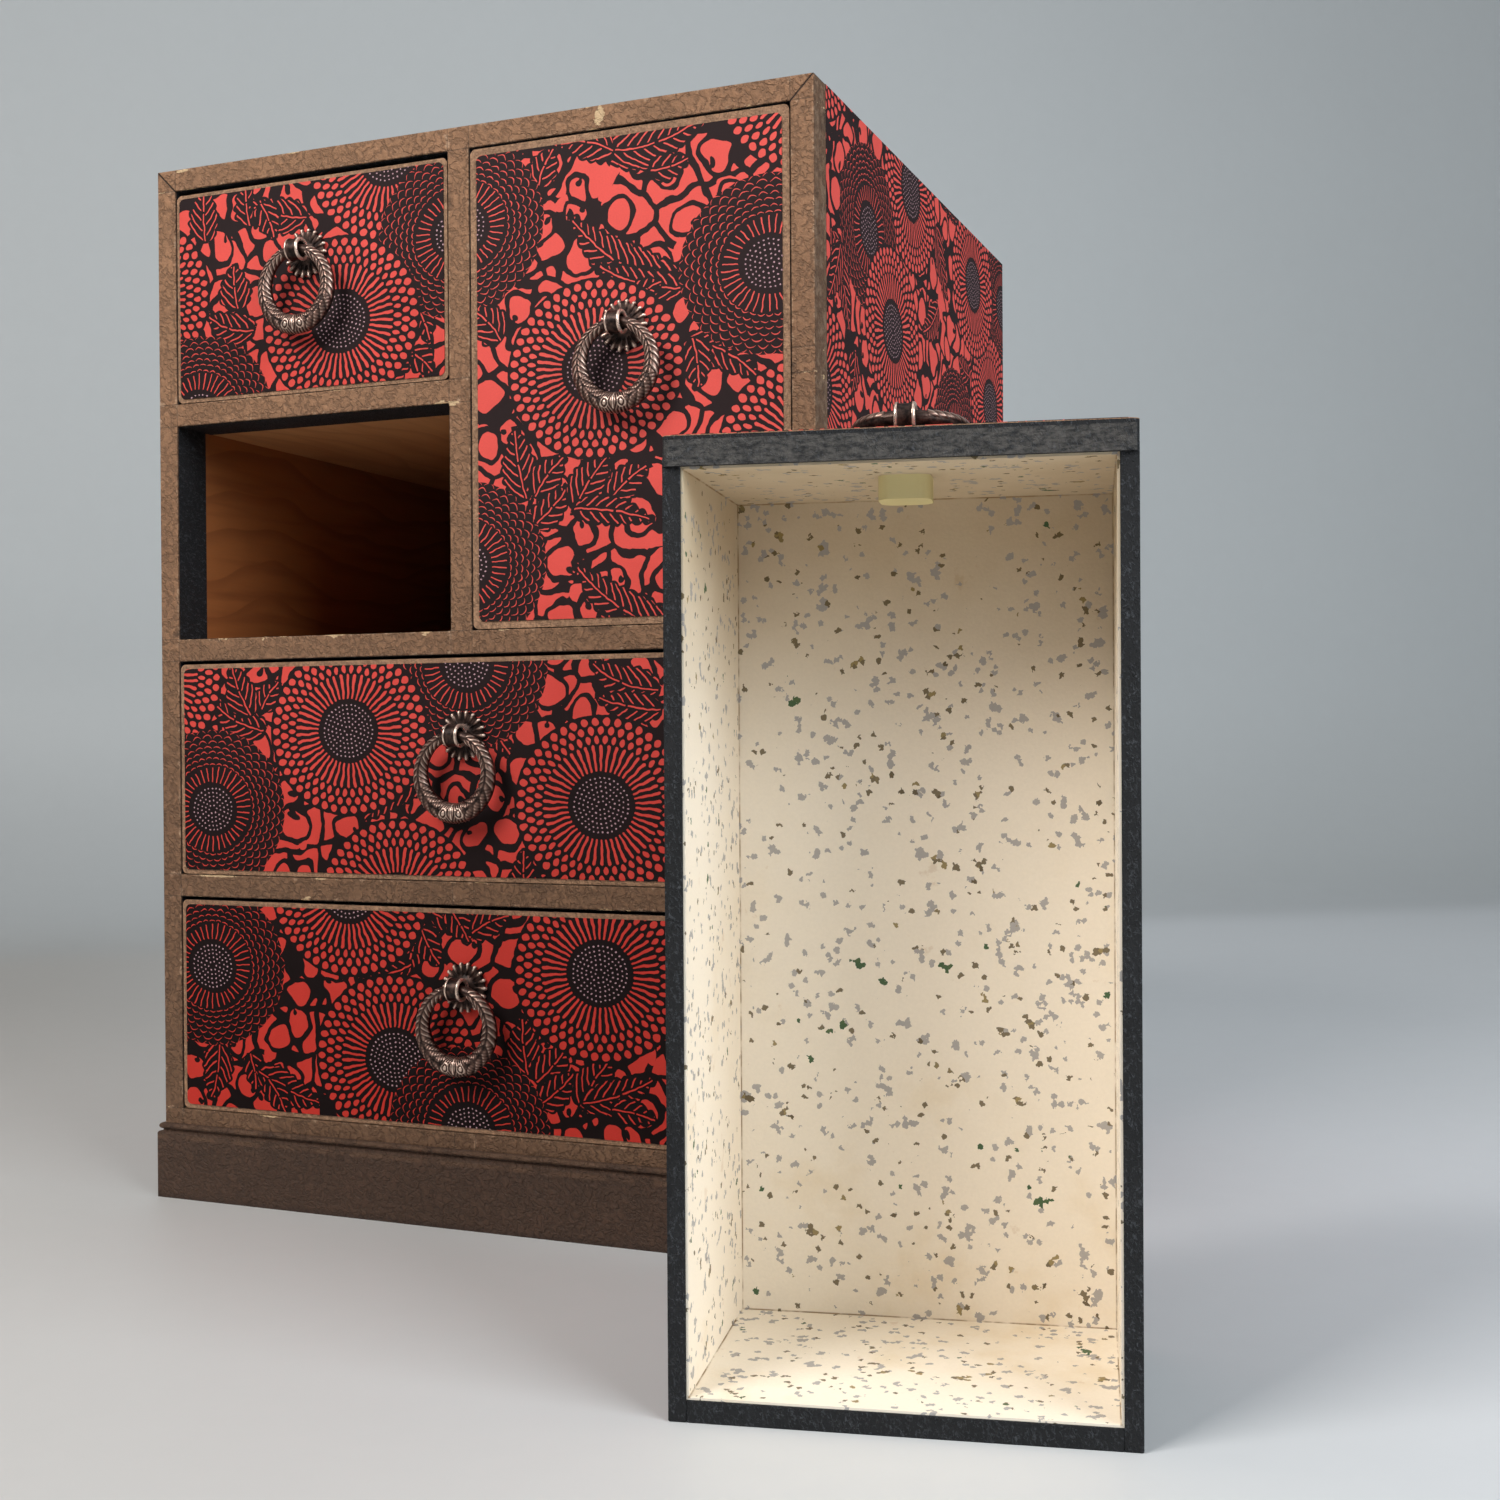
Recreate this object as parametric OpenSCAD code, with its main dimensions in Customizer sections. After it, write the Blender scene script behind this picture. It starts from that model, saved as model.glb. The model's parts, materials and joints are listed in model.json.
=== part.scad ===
// Small paper-covered drawer cabinet with five drawers, one of them taken out and stood on its back end.
// Origin: on the floor, at the middle of the cabinet's front frame. +X right, +Y to the back, +Z up.

/* [Carcass] */
// Width of the cabinet over its covering papers
cab_w = 204; // [180:1:260]
// Depth of the cabinet, from the front frame to the back
cab_d = 197; // [160:1:260]
// Thickness of the side boards
side_t = 6; // [4:0.2:9]
// Thickness of the top board
top_t = 5.8; // [4:0.2:9]
// Thickness of the bottom board
bottom_board_t = 6.4; // [4:0.2:9]
// Thickness of the three shelves
shelf_t = 6.4; // [4:0.2:9]
// Thickness of the upright divider
divider_t = 6.6; // [4:0.2:9]
// Thickness of the back panel
back_t = 4; // [2.5:0.1:6]
// Depth of the grooves that house the shelves, the divider and the back panel
housing = 1.5; // [0.8:0.1:2.5]

/* [Bays] */
// Width of the two small bays on the left
small_bay_w = 91.6; // [70:0.2:110]
// Height of each small bay
small_bay_h = 62.1; // [50:0.1:80]
// Height of each full-width bay
wide_bay_h = 62.1; // [50:0.1:80]

/* [Plinth] */
// Height at which the carcass sits on the plinth rails
seat_z = 19.8; // [14:0.1:30]
// How far the plinth stands out from the carcass
plinth_out = 1.6; // [1.2:0.1:4]
// How far the plinth rails reach in under the carcass
plinth_in = 6.4; // [4:0.2:12]
// Height of the lip that hides the joint above the seat
plinth_lip = 1.9; // [1.7:0.1:3]
// Radius of the rounded top edge of the plinth's face
plinth_round = 0.8; // [0.5:0.05:1]
// Radius of the thin bead above that edge
plinth_bead = 0.9; // [0.6:0.05:1.1]

/* [Papers] */
// Thickness of the papers that cover the carcass
paper_t = 0.4; // [0.3:0.05:0.8]
// Width of the plain strip that wraps round to the sides and the top
wrap_w = 9; // [4:0.5:20]
// Thickness of the black strips inside the mouths of the bays
strip_t = 0.15; // [0.1:0.05:0.2]
// Depth of the black strips on the bay walls
strip_wall_d = 12.4; // [8:0.2:25]
// Depth of the black strips on the bay ceilings
strip_ceiling_d = 15; // [8:0.2:25]
// Thickness of the patterned paper on the drawer fronts
face_t = 0.3; // [0.2:0.05:0.5]
// Thickness of the lining paper in the trays
lining_t = 0.5; // [0.3:0.05:1]

/* [Drawers] */
// Clear space between a closed drawer and the back panel
back_gap = 0.4; // [0.2:0.1:4]
// Thickness of a drawer front with its face paper
front_t = 6.3; // [5:0.1:9]
// Thickness of the drawer side walls
wall_t = 3.6; // [2.5:0.1:6]
// Thickness of the drawer back wall
end_t = 4.4; // [2.5:0.1:7]
// Thickness of the drawer bottom
tray_floor_t = 4; // [2.5:0.1:6]
// How far the side walls are let into the back of the front
wall_rebate = 2; // [1:0.1:3]
// How far the tray's rim lies below the top edge of the front
rim_drop = 0.8; // [0.3:0.1:3]
// How far the lining stops below the rim
lining_drop = 0.5; // [0.2:0.1:2]
// Corner radius of the drawer fronts
corner_r = 1.6; // [0.5:0.1:2.5]
// Gap on each side of a drawer in its bay
side_gap = 0.35; // [0.25:0.05:0.8]
// Gap below a drawer in its bay
run_gap = 0.2; // [0.1:0.05:0.5]
// Gap above the small drawers
small_top_gap = 1.6; // [0.6:0.1:2.5]
// Gap above the tall drawer
tall_top_gap = 0.6; // [0.4:0.1:2]
// Gap above the full-width drawers
wide_top_gap = 1; // [0.4:0.1:2]
// Bare border round the face paper of the small drawers
small_border = 1.1; // [0.6:0.1:3]
// Bare border round the face paper of the tall drawer
tall_border = 2; // [0.6:0.1:3]
// Bare border round the face paper of the full-width drawers
wide_border = 1.3; // [0.6:0.1:3]

/* [Ring pull] */
// Height of the pull above the middle of a small drawer
small_pull_rise = 8.6; // [0:0.1:14]
// Height of the pull above the middle of the tall drawer
tall_pull_rise = 13; // [0:0.1:30]
// Height of the pull above the middle of a full-width drawer
wide_pull_rise = 9.2; // [0:0.1:14]
// Outer diameter of the ring
ring_od = 25.4; // [22:0.2:30]
// Diameter of the hole in the ring
ring_id = 16.4; // [14:0.2:18]
// How far the hole sits above the middle of the ring
ring_offset = 1.2; // [0.4:0.1:1.4]
// Half the ring's front-to-back thickness at the top
ring_top_half = 1.5; // [1.2:0.05:1.7]
// Half the ring's front-to-back thickness at the bottom
ring_foot_half = 2.2; // [1.6:0.05:2.6]
// Height of the laurel leaves cast on the ring
leaf_h = 0.3; // [0.1:0.05:0.4]
// Number of pairs of laurel leaves round the ring
leaf_pairs = 24; // [16:2:30]
// Clearance round the ring inside the eye
eye_gap = 0.35; // [0.25:0.05:0.6]
// Width of the eye's strap
eye_w = 4.4; // [3:0.1:5]
// Thickness of the eye's strap
eye_wall = 0.7; // [0.5:0.05:1]
// Radius of the raised bands along the strap's edges
band_r = 0.5; // [0.35:0.05:0.6]
// Radius of the eye's shank
shank_r = 1.1; // [0.8:0.05:1.4]
// Clearance round the shank in the parts that it passes through
shank_gap = 0.1; // [0.05:0.05:0.3]
// Length of each leg of the shank, bent flat inside the drawer
leg_l = 4.4; // [2.5:0.1:4.6]
// Width of a bent leg
leg_w = 1.6; // [1:0.1:2]
// Thickness of a bent leg
leg_t = 0.6; // [0.4:0.05:1]
// Side length of the square pad that covers the legs
pad_w = 10.6; // [10:0.2:14]
// Corner radius of the pad
pad_r = 3; // [1:0.2:4]
// Thickness of the pad
pad_t = 5; // [3:0.2:8]
// Radius of the rosette to the middle of its beads
rosette_r = 6.3; // [5.5:0.1:8]
// Radius of the beads at the petal tips
petal_bead = 0.62; // [0.5:0.02:0.8]
// Radius of a petal where it leaves the boss
petal_root = 0.3; // [0.2:0.02:0.45]
// Radius of a petal where it meets its bead
petal_end = 0.54; // [0.46:0.02:0.64]
// Number of petals on the rosette
petals = 18; // [12:1:20]
// Thickness of the rosette's plate
plate_t = 0.8; // [0.6:0.05:1.2]
// Radius of the rosette's round boss
boss_r = 3.5; // [3:0.1:4.2]
// Height of the boss above the plate
boss_h = 1.1; // [0.6:0.05:1.6]

/* [Drawer taken out] */
// Gap that keeps the stood drawer clear of the path of the other drawers
stand_gap = 1; // [0.5:0.5:40]
// How far the stood drawer's bottom stands in front of the frame, at its middle
stand_y = -38; // [-60:1:-8]
// How far the stood drawer is turned, anticlockwise from above
stand_turn = 11; // [0:0.5:25]

/* [Hidden] */
$fn = 64;
cut = 1;

half_w = cab_w / 2;
bay_x1 = half_w - paper_t - side_t;
bay_x0 = -bay_x1;
divider_x0 = bay_x0 + small_bay_w;
divider_x1 = divider_x0 + divider_t;
floor_z = seat_z + bottom_board_t;
lower_z = floor_z + wide_bay_h;
upper_floor_z = lower_z + shelf_t;
middle_z = upper_floor_z + wide_bay_h;
middle_top_z = middle_z + shelf_t;
small_z = middle_top_z + small_bay_h;
small_top_z = small_z + shelf_t;
ceiling_z = small_top_z + small_bay_h;
top_z = ceiling_z + top_t;
cab_h = top_z + paper_t;
panel_y = cab_d - back_t;
drawer_l = panel_y - back_gap;
lip_z = seat_z + plinth_lip;

// Each bay: left, right, floor, ceiling
BAYS = [
    [bay_x0, divider_x0, small_top_z, ceiling_z],
    [divider_x1, bay_x1, middle_top_z, ceiling_z],
    [bay_x0, bay_x1, upper_floor_z, middle_z],
    [bay_x0, bay_x1, floor_z, lower_z],
    [bay_x0, divider_x0, middle_top_z, small_z]
];

// Each drawer: its bay, the gap above it, its pull's rise and its bare border
TOP_LEFT = [BAYS[0], small_top_gap, small_pull_rise, small_border];
TALL = [BAYS[1], tall_top_gap, tall_pull_rise, tall_border];
UPPER_WIDE = [BAYS[2], wide_top_gap, wide_pull_rise, wide_border];
LOWER_WIDE = [BAYS[3], wide_top_gap, wide_pull_rise, wide_border];
TAKEN_OUT = [BAYS[4], small_top_gap, small_pull_rise, small_border];

function drawer_w(d) = d[0][1] - d[0][0] - 2 * side_gap;
function drawer_h(d) = d[0][3] - d[0][2] - run_gap - d[1];
function rim_z(d) = drawer_h(d) - rim_drop;
function pull_z(d) = drawer_h(d) / 2 + d[2];
function tray_x(d) = drawer_w(d) / 2 - wall_t;

// Ring: the distance from its middle to its hole's edge, at an angle from the top
ring_or = ring_od / 2;
ring_ir = ring_id / 2;
function hole_edge(a) = ring_offset * cos(a) + sqrt(pow(ring_ir, 2) - pow(ring_offset * sin(a), 2));
function ring_mid(a) = (ring_or + hole_edge(a)) / 2;
function ring_half(a) = (ring_or - hole_edge(a)) / 2;
function ring_deep(a) = ring_top_half + (ring_foot_half - ring_top_half) * (1 - cos(a)) / 2;

// The eye's bore leaves eye_gap round the ring's top, which bows down by ring_bow across the strap
ring_drop = ring_mid(0);
ring_bow = ring_drop - sqrt(pow(ring_drop, 2) - pow(eye_w / 2, 2));
eye_r = max(ring_half(0), ring_top_half) + ring_bow + eye_gap;
boss_top = plate_t + boss_h;
pivot_out = boss_top + 2 * band_r + eye_r;
shank_hole_r = shank_r + shank_gap;
inner_face_y = front_t + lining_t;
petal_start = boss_r - 1;
petal_z = plate_t - 0.1;

// Ring surface: sections along a leaf and round the ring, points round a section, bare arc at the top
leaf_steps = 3;
ring_steps = leaf_pairs * leaf_steps;
section_steps = 12;
bare_top = 24;

// A lying ring rests on the drawer's face at its foot
lie_gap = 0.3;
foot_reach = ring_drop + ring_mid(180);
lie_angle = asin((pivot_out - ring_foot_half - leaf_h - lie_gap) / foot_reach);

// The stood drawer's leftmost corner stays clear of the right-hand edge of the other drawers
path_edge = bay_x1 - side_gap;
stand_x = path_edge + stand_gap + drawer_w(TAKEN_OUT) / 2 * cos(stand_turn);

// Plain shapes

// A box from its low and high corners
module span(low, high) {
    translate(low)
        cube(high - low);
}

// A profile in X and Z, drawn out along Y
module drawn(y0, y1) {
    translate([0, y1, 0])
        rotate([90, 0, 0])
            linear_extrude(y1 - y0)
                children();
}

// An outline with round corners, centred in width and standing on zero
module rounded_outline(w, h, r) {
    translate([-w / 2 + r, 0])
        square([w - 2 * r, h]);
    translate([-w / 2, r])
        square([w, h - 2 * r]);
    for (x = [-w / 2 + r, w / 2 - r])
        for (z = [r, h - r])
            translate([x, z])
                circle(r);
}

// Carcass

// The back panel sits in rebates cut with its own shape
module back_panel_shape() {
    span([bay_x0 - housing, panel_y, seat_z], [bay_x1 + housing, cab_d, ceiling_z + housing]);
}

module divider_shape() {
    span([divider_x0, paper_t, middle_top_z - housing], [divider_x1, panel_y, ceiling_z + housing]);
}

module shelf_shape(x0, x1, z) {
    span([x0 - housing, paper_t, z], [x1 + housing, panel_y, z + shelf_t]);
}

module side_shape() {
    drawn(paper_t, cab_d)
        polygon([
            [bay_x1, seat_z], [bay_x1 + side_t, seat_z],
            [bay_x1 + side_t, top_z], [bay_x1, ceiling_z]
        ]);
}

module left_side() {
    color("sienna")
        difference() {
            mirror([1, 0, 0])
                side_shape();
            back_panel_shape();
            shelf_shape(bay_x0, divider_x0, small_z);
            shelf_shape(bay_x0, bay_x1, middle_z);
            shelf_shape(bay_x0, bay_x1, lower_z);
        }
}

module right_side() {
    color("sienna")
        difference() {
            side_shape();
            back_panel_shape();
            shelf_shape(bay_x0, bay_x1, middle_z);
            shelf_shape(bay_x0, bay_x1, lower_z);
        }
}

module top_board() {
    color("peru")
        difference() {
            drawn(paper_t, cab_d)
                polygon([
                    [bay_x0, ceiling_z], [bay_x1, ceiling_z],
                    [bay_x1 + side_t, top_z], [bay_x0 - side_t, top_z]
                ]);
            back_panel_shape();
            divider_shape();
        }
}

module bottom_board() {
    color("peru")
        span([bay_x0, paper_t, seat_z], [bay_x1, panel_y, floor_z]);
}

module back_panel() {
    color("burlywood")
        back_panel_shape();
}

module centre_divider() {
    color("sienna")
        difference() {
            divider_shape();
            shelf_shape(bay_x0, divider_x0, small_z);
        }
}

module small_shelf() {
    color("peru")
        shelf_shape(bay_x0, divider_x0, small_z);
}

module middle_shelf() {
    color("peru")
        difference() {
            shelf_shape(bay_x0, bay_x1, middle_z);
            divider_shape();
        }
}

module lower_shelf() {
    color("peru")
        shelf_shape(bay_x0, bay_x1, lower_z);
}

// Plinth rail profile: outward from the carcass face, and up
module plinth_profile() {
    edge_z = seat_z - plinth_round - plinth_bead / 2;
    bead_z = lip_z - plinth_bead;
    bead_out = plinth_out - plinth_round - plinth_bead / 2;
    translate([-plinth_in, 0])
        square([plinth_in, seat_z]);
    square([plinth_out, edge_z]);
    square([plinth_out - plinth_round, edge_z + plinth_round]);
    translate([plinth_out - plinth_round, edge_z])
        circle(plinth_round);
    intersection() {
        translate([bead_out, bead_z])
            circle(plinth_bead);
        square([plinth_out, lip_z]);
    }
    square([max(bead_out, paper_t), lip_z]);
}

// A length of moulded rail along X, its face to the front and the carcass face on y = 0
module rail_length(x0, x1) {
    translate([x0, 0, 0])
        rotate([90, 0, 90])
            linear_extrude(x1 - x0)
                mirror([1, 0])
                    plinth_profile();
}

// Front and side rails meet in mitres; the plain back rail fits between the side rails
module plinth() {
    outer = plinth_out + cut;
    inner = plinth_in + cut;
    mitre = [[half_w + outer, -outer], [half_w - inner, inner]];
    color("#4a3a30") {
        intersection() {
            rail_length(-half_w - plinth_out, half_w + plinth_out);
            linear_extrude(lip_z + cut)
                polygon([mitre[0], mitre[1], [-mitre[1].x, mitre[1].y], [-mitre[0].x, mitre[0].y]]);
        }
        side_rail(mitre);
        mirror([1, 0, 0])
            side_rail(mitre);
        span([-half_w + plinth_in, cab_d - plinth_in, 0], [half_w - plinth_in, cab_d, seat_z]);
    }
}

module side_rail(mitre) {
    intersection() {
        translate([half_w, 0, 0])
            rotate([0, 0, 90])
                rail_length(-plinth_out, cab_d);
        linear_extrude(lip_z + cut)
            polygon([mitre[0], [mitre[0].x, cab_d + cut], [mitre[1].x, cab_d + cut], mitre[1]]);
    }
}

module cover_papers() {
    color("#d8403a") {
        for (x = [-half_w, half_w - paper_t])
            span([x, wrap_w, seat_z], [x + paper_t, cab_d, top_z]);
        span([-half_w, wrap_w, top_z], [half_w, cab_d, cab_h]);
    }
}

// A stile's strip, folded round onto the side and mitred at the top corner
module stile_strip() {
    drawn(0, paper_t)
        polygon([[bay_x1, seat_z], [half_w, seat_z], [half_w, cab_h], [bay_x1, ceiling_z]]);
    span([half_w - paper_t, paper_t, seat_z], [half_w, wrap_w, top_z]);
}

module rail_strip(x0, x1, z0, z1) {
    span([x0, 0, z0], [x1, paper_t, z1]);
}

module front_edging() {
    color("#8a6e58") {
        stile_strip();
        mirror([1, 0, 0])
            stile_strip();
        drawn(0, paper_t)
            polygon([[bay_x0, ceiling_z], [bay_x1, ceiling_z], [half_w, cab_h], [-half_w, cab_h]]);
        span([-half_w, paper_t, top_z], [half_w, wrap_w, cab_h]);
        rail_strip(bay_x0, bay_x1, seat_z, floor_z);
        rail_strip(bay_x0, bay_x1, lower_z, upper_floor_z);
        rail_strip(bay_x0, bay_x1, middle_z, middle_top_z);
        rail_strip(bay_x0, divider_x0, small_z, small_top_z);
        rail_strip(divider_x0, divider_x1, middle_top_z, ceiling_z);
    }
}

module bay_strips() {
    color("#2c2e34")
        for (bay = BAYS) {
            span([bay[0], paper_t, bay[2]], [bay[0] + strip_t, strip_wall_d, bay[3]]);
            span([bay[1] - strip_t, paper_t, bay[2]], [bay[1], strip_wall_d, bay[3]]);
            span([bay[0] + strip_t, paper_t, bay[3] - strip_t], [bay[1] - strip_t, strip_ceiling_d, bay[3]]);
        }
}

// Drawers, each drawn with its face on y = 0, centred in width, standing on z = 0

module in_bay(d) {
    translate([(d[0][0] + d[0][1]) / 2, 0, d[0][2] + run_gap])
        children();
}

// Stood on its back end, its face up and its tray open to the front
module stood() {
    translate([stand_x, stand_y, drawer_l])
        rotate([-90, 0, 180 + stand_turn])
            children();
}

module seat(d) {
    if (d == TAKEN_OUT) stood() children();
    else in_bay(d) children();
}

module shank_hole(d, y0, y1) {
    translate([0, y1, pull_z(d)])
        rotate([90, 0, 0])
            cylinder(h = y1 - y0, r = shank_hole_r);
}

module front(d) {
    color("#2c2e34")
        seat(d)
            difference() {
                drawn(face_t, front_t)
                    rounded_outline(drawer_w(d), drawer_h(d), corner_r);
                shank_hole(d, 0, front_t + cut);
                side_wall_shapes(d);
            }
}

module side_wall_shapes(d) {
    for (side = [-1, 1])
        scale([side, 1, 1])
            span([tray_x(d), front_t - wall_rebate, tray_floor_t], [drawer_w(d) / 2, drawer_l, rim_z(d)]);
}

module side_walls(d) {
    color("#33353c")
        seat(d)
            side_wall_shapes(d);
}

module back_wall(d) {
    color("#33353c")
        seat(d)
            span([-tray_x(d), drawer_l - end_t, tray_floor_t], [tray_x(d), drawer_l, rim_z(d)]);
}

module bottom(d) {
    color("#33353c")
        seat(d)
            span([-drawer_w(d) / 2, front_t, 0], [drawer_w(d) / 2, drawer_l, tray_floor_t]);
}

// Lining paper folded into an open box, with the pad that covers the legs of the pull
module lining(d) {
    lining_top = rim_z(d) - lining_drop;
    color("#e8dcc4")
        seat(d) {
            difference() {
                span([-tray_x(d), front_t, tray_floor_t], [tray_x(d), drawer_l - end_t, lining_top]);
                span(
                    [-tray_x(d) + lining_t, front_t + lining_t, tray_floor_t + lining_t],
                    [tray_x(d) - lining_t, drawer_l - end_t - lining_t, lining_top + cut]
                );
                shank_hole(d, front_t - cut, inner_face_y + cut);
            }
            difference() {
                translate([0, inner_face_y + pad_t, pull_z(d) - pad_w / 2])
                    rotate([90, 0, 0])
                        linear_extrude(pad_t)
                            rounded_outline(pad_w, pad_w, pad_r);
                leg_space(d);
            }
        }
}

// The hollow in the pad for the two bent legs
module leg_space(d) {
    reach = leg_l + shank_gap;
    half = max(shank_hole_r, leg_w / 2 + shank_gap);
    translate([0, inner_face_y, pull_z(d)])
        span([-reach, -cut, -half], [reach, leg_t + shank_gap, half]);
}

module face_paper(d) {
    border = d[3];
    color("#d8403a")
        seat(d)
            difference() {
                translate([0, 0, border])
                    drawn(0, face_t)
                        rounded_outline(drawer_w(d) - 2 * border, drawer_h(d) - 2 * border, corner_r);
                shank_hole(d, -cut, face_t + cut);
            }
}

// Ring pull, drawn about the middle of the eye

module at_pull(d) {
    seat(d)
        translate([0, 0, pull_z(d)])
            rotate([90, 0, 0])
                children();
}

// Fluted rosette: a round plate, a domed boss and petals that swell towards a bead
module rosette(d) {
    dome_r = (pow(boss_r, 2) + pow(boss_h, 2)) / (2 * boss_h);
    color("#7a5a3c")
        at_pull(d)
            difference() {
                union() {
                    cylinder(h = plate_t, r = rosette_r - petal_bead / 2);
                    rotate_extrude()
                        intersection() {
                            translate([0, boss_top - dome_r])
                                circle(dome_r);
                            translate([0, plate_t / 2])
                                square([boss_r, boss_top]);
                        }
                    for (i = [0 : petals - 1])
                        rotate([0, 0, i * 360 / petals])
                            petal();
                }
                translate([0, 0, -cut])
                    cylinder(h = boss_top + 2 * cut, r = shank_hole_r);
            }
}

module petal() {
    translate([petal_start, 0, petal_z])
        rotate([0, 90, 0])
            cylinder(h = rosette_r - petal_start, r1 = petal_root, r2 = min(petal_end, petal_bead - 0.02));
    translate([rosette_r, 0, petal_z])
        sphere(petal_bead);
}

// Eye of a folded strap with a raised band along each edge, on a shank with two bent legs
module eye(d) {
    shank_top = pivot_out - eye_r - eye_wall / 2;
    band_x = eye_w / 2 - band_r;
    color("#8a6a48")
        at_pull(d) {
            translate([0, 0, pivot_out])
                rotate([0, 90, 0])
                    rotate_extrude() {
                        translate([eye_r, -band_x])
                            square([eye_wall, 2 * band_x]);
                        for (side = [-1, 1])
                            translate([eye_r + band_r, side * band_x])
                                circle(band_r);
                    }
            translate([0, 0, -inner_face_y - leg_t / 2])
                cylinder(h = shank_top + inner_face_y + leg_t / 2, r = shank_r);
            span([-leg_l, -leg_w / 2, -inner_face_y - leg_t], [leg_l, leg_w / 2, -inner_face_y]);
        }
}

// Leaves rise along the ring from its foot to its top, in a herringbone about its middle line
function swing(a) = a > 180 ? 360 - a : a;
function leaf_rise(a, f) =
    let (turn = swing(a) * leaf_pairs / 360 + abs(cos(f)) / leaf_steps)
    let (rise = 1 - (turn - floor(turn)))
    swing(a) < bare_top ? 0 : leaf_h * rise;
function ring_point(a, f) =
    let (lift = leaf_rise(a, f))
    let (r = ring_mid(a) + (ring_half(a) - leaf_h + lift) * cos(f))
    [r * sin(a), r * cos(a) - ring_drop, (ring_deep(a) + lift) * sin(f)];

module ring_form() {
    points = [
        for (i = [0 : ring_steps - 1])
            for (j = [0 : section_steps - 1])
                ring_point(i * 360 / ring_steps, j * 360 / section_steps)
    ];
    faces = [
        for (i = [0 : ring_steps - 1])
            for (j = [0 : section_steps - 1])
                let (i2 = (i + 1) % ring_steps)
                let (j2 = (j + 1) % section_steps)
                let (p = i * section_steps + j)
                let (q = i2 * section_steps + j)
                let (s = i2 * section_steps + j2)
                let (t = i * section_steps + j2)
                each [[p, q, s], [p, s, t]]
    ];
    polyhedron(points, faces);
}

module ring(d) {
    tilt = d == TAKEN_OUT ? lie_angle : 0;
    color("#6e5038")
        at_pull(d)
            translate([0, 0, pivot_out])
                rotate([tilt, 0, 0])
                    ring_form();
}

left_side();
right_side();
top_board();
bottom_board();
back_panel();
centre_divider();
small_shelf();
middle_shelf();
lower_shelf();
plinth();
cover_papers();
front_edging();
bay_strips();
for (drawer = [
    ["top_left", TOP_LEFT], ["tall", TALL], ["upper_wide", UPPER_WIDE],
    ["lower_wide", LOWER_WIDE], ["taken_out", TAKEN_OUT]
]) {
    name = drawer[0];
    d = drawer[1];
    front(d);
    side_walls(d);
    back_wall(d);
    bottom(d);
    lining(d);
    face_paper(d);
    rosette(d);
    eye(d);
    ring(d);
}
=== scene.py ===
import json
import math

import bpy
from mathutils import Matrix, Vector


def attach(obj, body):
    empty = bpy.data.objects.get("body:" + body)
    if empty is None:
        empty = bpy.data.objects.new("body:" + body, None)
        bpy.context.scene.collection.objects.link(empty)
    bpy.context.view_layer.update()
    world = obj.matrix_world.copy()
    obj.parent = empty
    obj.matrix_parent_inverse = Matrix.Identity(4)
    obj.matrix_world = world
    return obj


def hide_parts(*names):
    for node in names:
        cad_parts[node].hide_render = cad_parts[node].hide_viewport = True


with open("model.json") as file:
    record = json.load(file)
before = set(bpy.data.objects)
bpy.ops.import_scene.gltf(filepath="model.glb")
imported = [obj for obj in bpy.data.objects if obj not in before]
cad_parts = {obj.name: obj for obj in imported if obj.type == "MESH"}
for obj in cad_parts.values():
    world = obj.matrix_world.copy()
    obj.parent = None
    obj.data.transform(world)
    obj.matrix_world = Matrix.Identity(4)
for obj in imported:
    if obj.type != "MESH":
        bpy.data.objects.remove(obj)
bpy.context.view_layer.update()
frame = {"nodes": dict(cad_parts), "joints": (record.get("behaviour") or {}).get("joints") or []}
nodes = frame["nodes"]
scene = bpy.context.scene
print("frame loaded", len(nodes), "nodes")


# Shader helpers: a wire is a socket that can be added, multiplied and compared


class Wire:
    def __init__(self, graph, socket):
        self.graph = graph
        self.socket = socket

    def __add__(self, other):
        return self.graph.math("ADD", self, other)

    __radd__ = __add__

    def __sub__(self, other):
        return self.graph.math("SUBTRACT", self, other)

    def __rsub__(self, other):
        return self.graph.math("SUBTRACT", other, self)

    def __mul__(self, other):
        return self.graph.math("MULTIPLY", self, other)

    __rmul__ = __mul__

    def __truediv__(self, other):
        return self.graph.math("DIVIDE", self, other)

    def __pow__(self, other):
        return self.graph.math("POWER", self, other)

    def __gt__(self, other):
        return self.graph.math("GREATER_THAN", self, other)

    def __lt__(self, other):
        return self.graph.math("LESS_THAN", self, other)

    def __abs__(self):
        return self.graph.math("ABSOLUTE", self)


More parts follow.
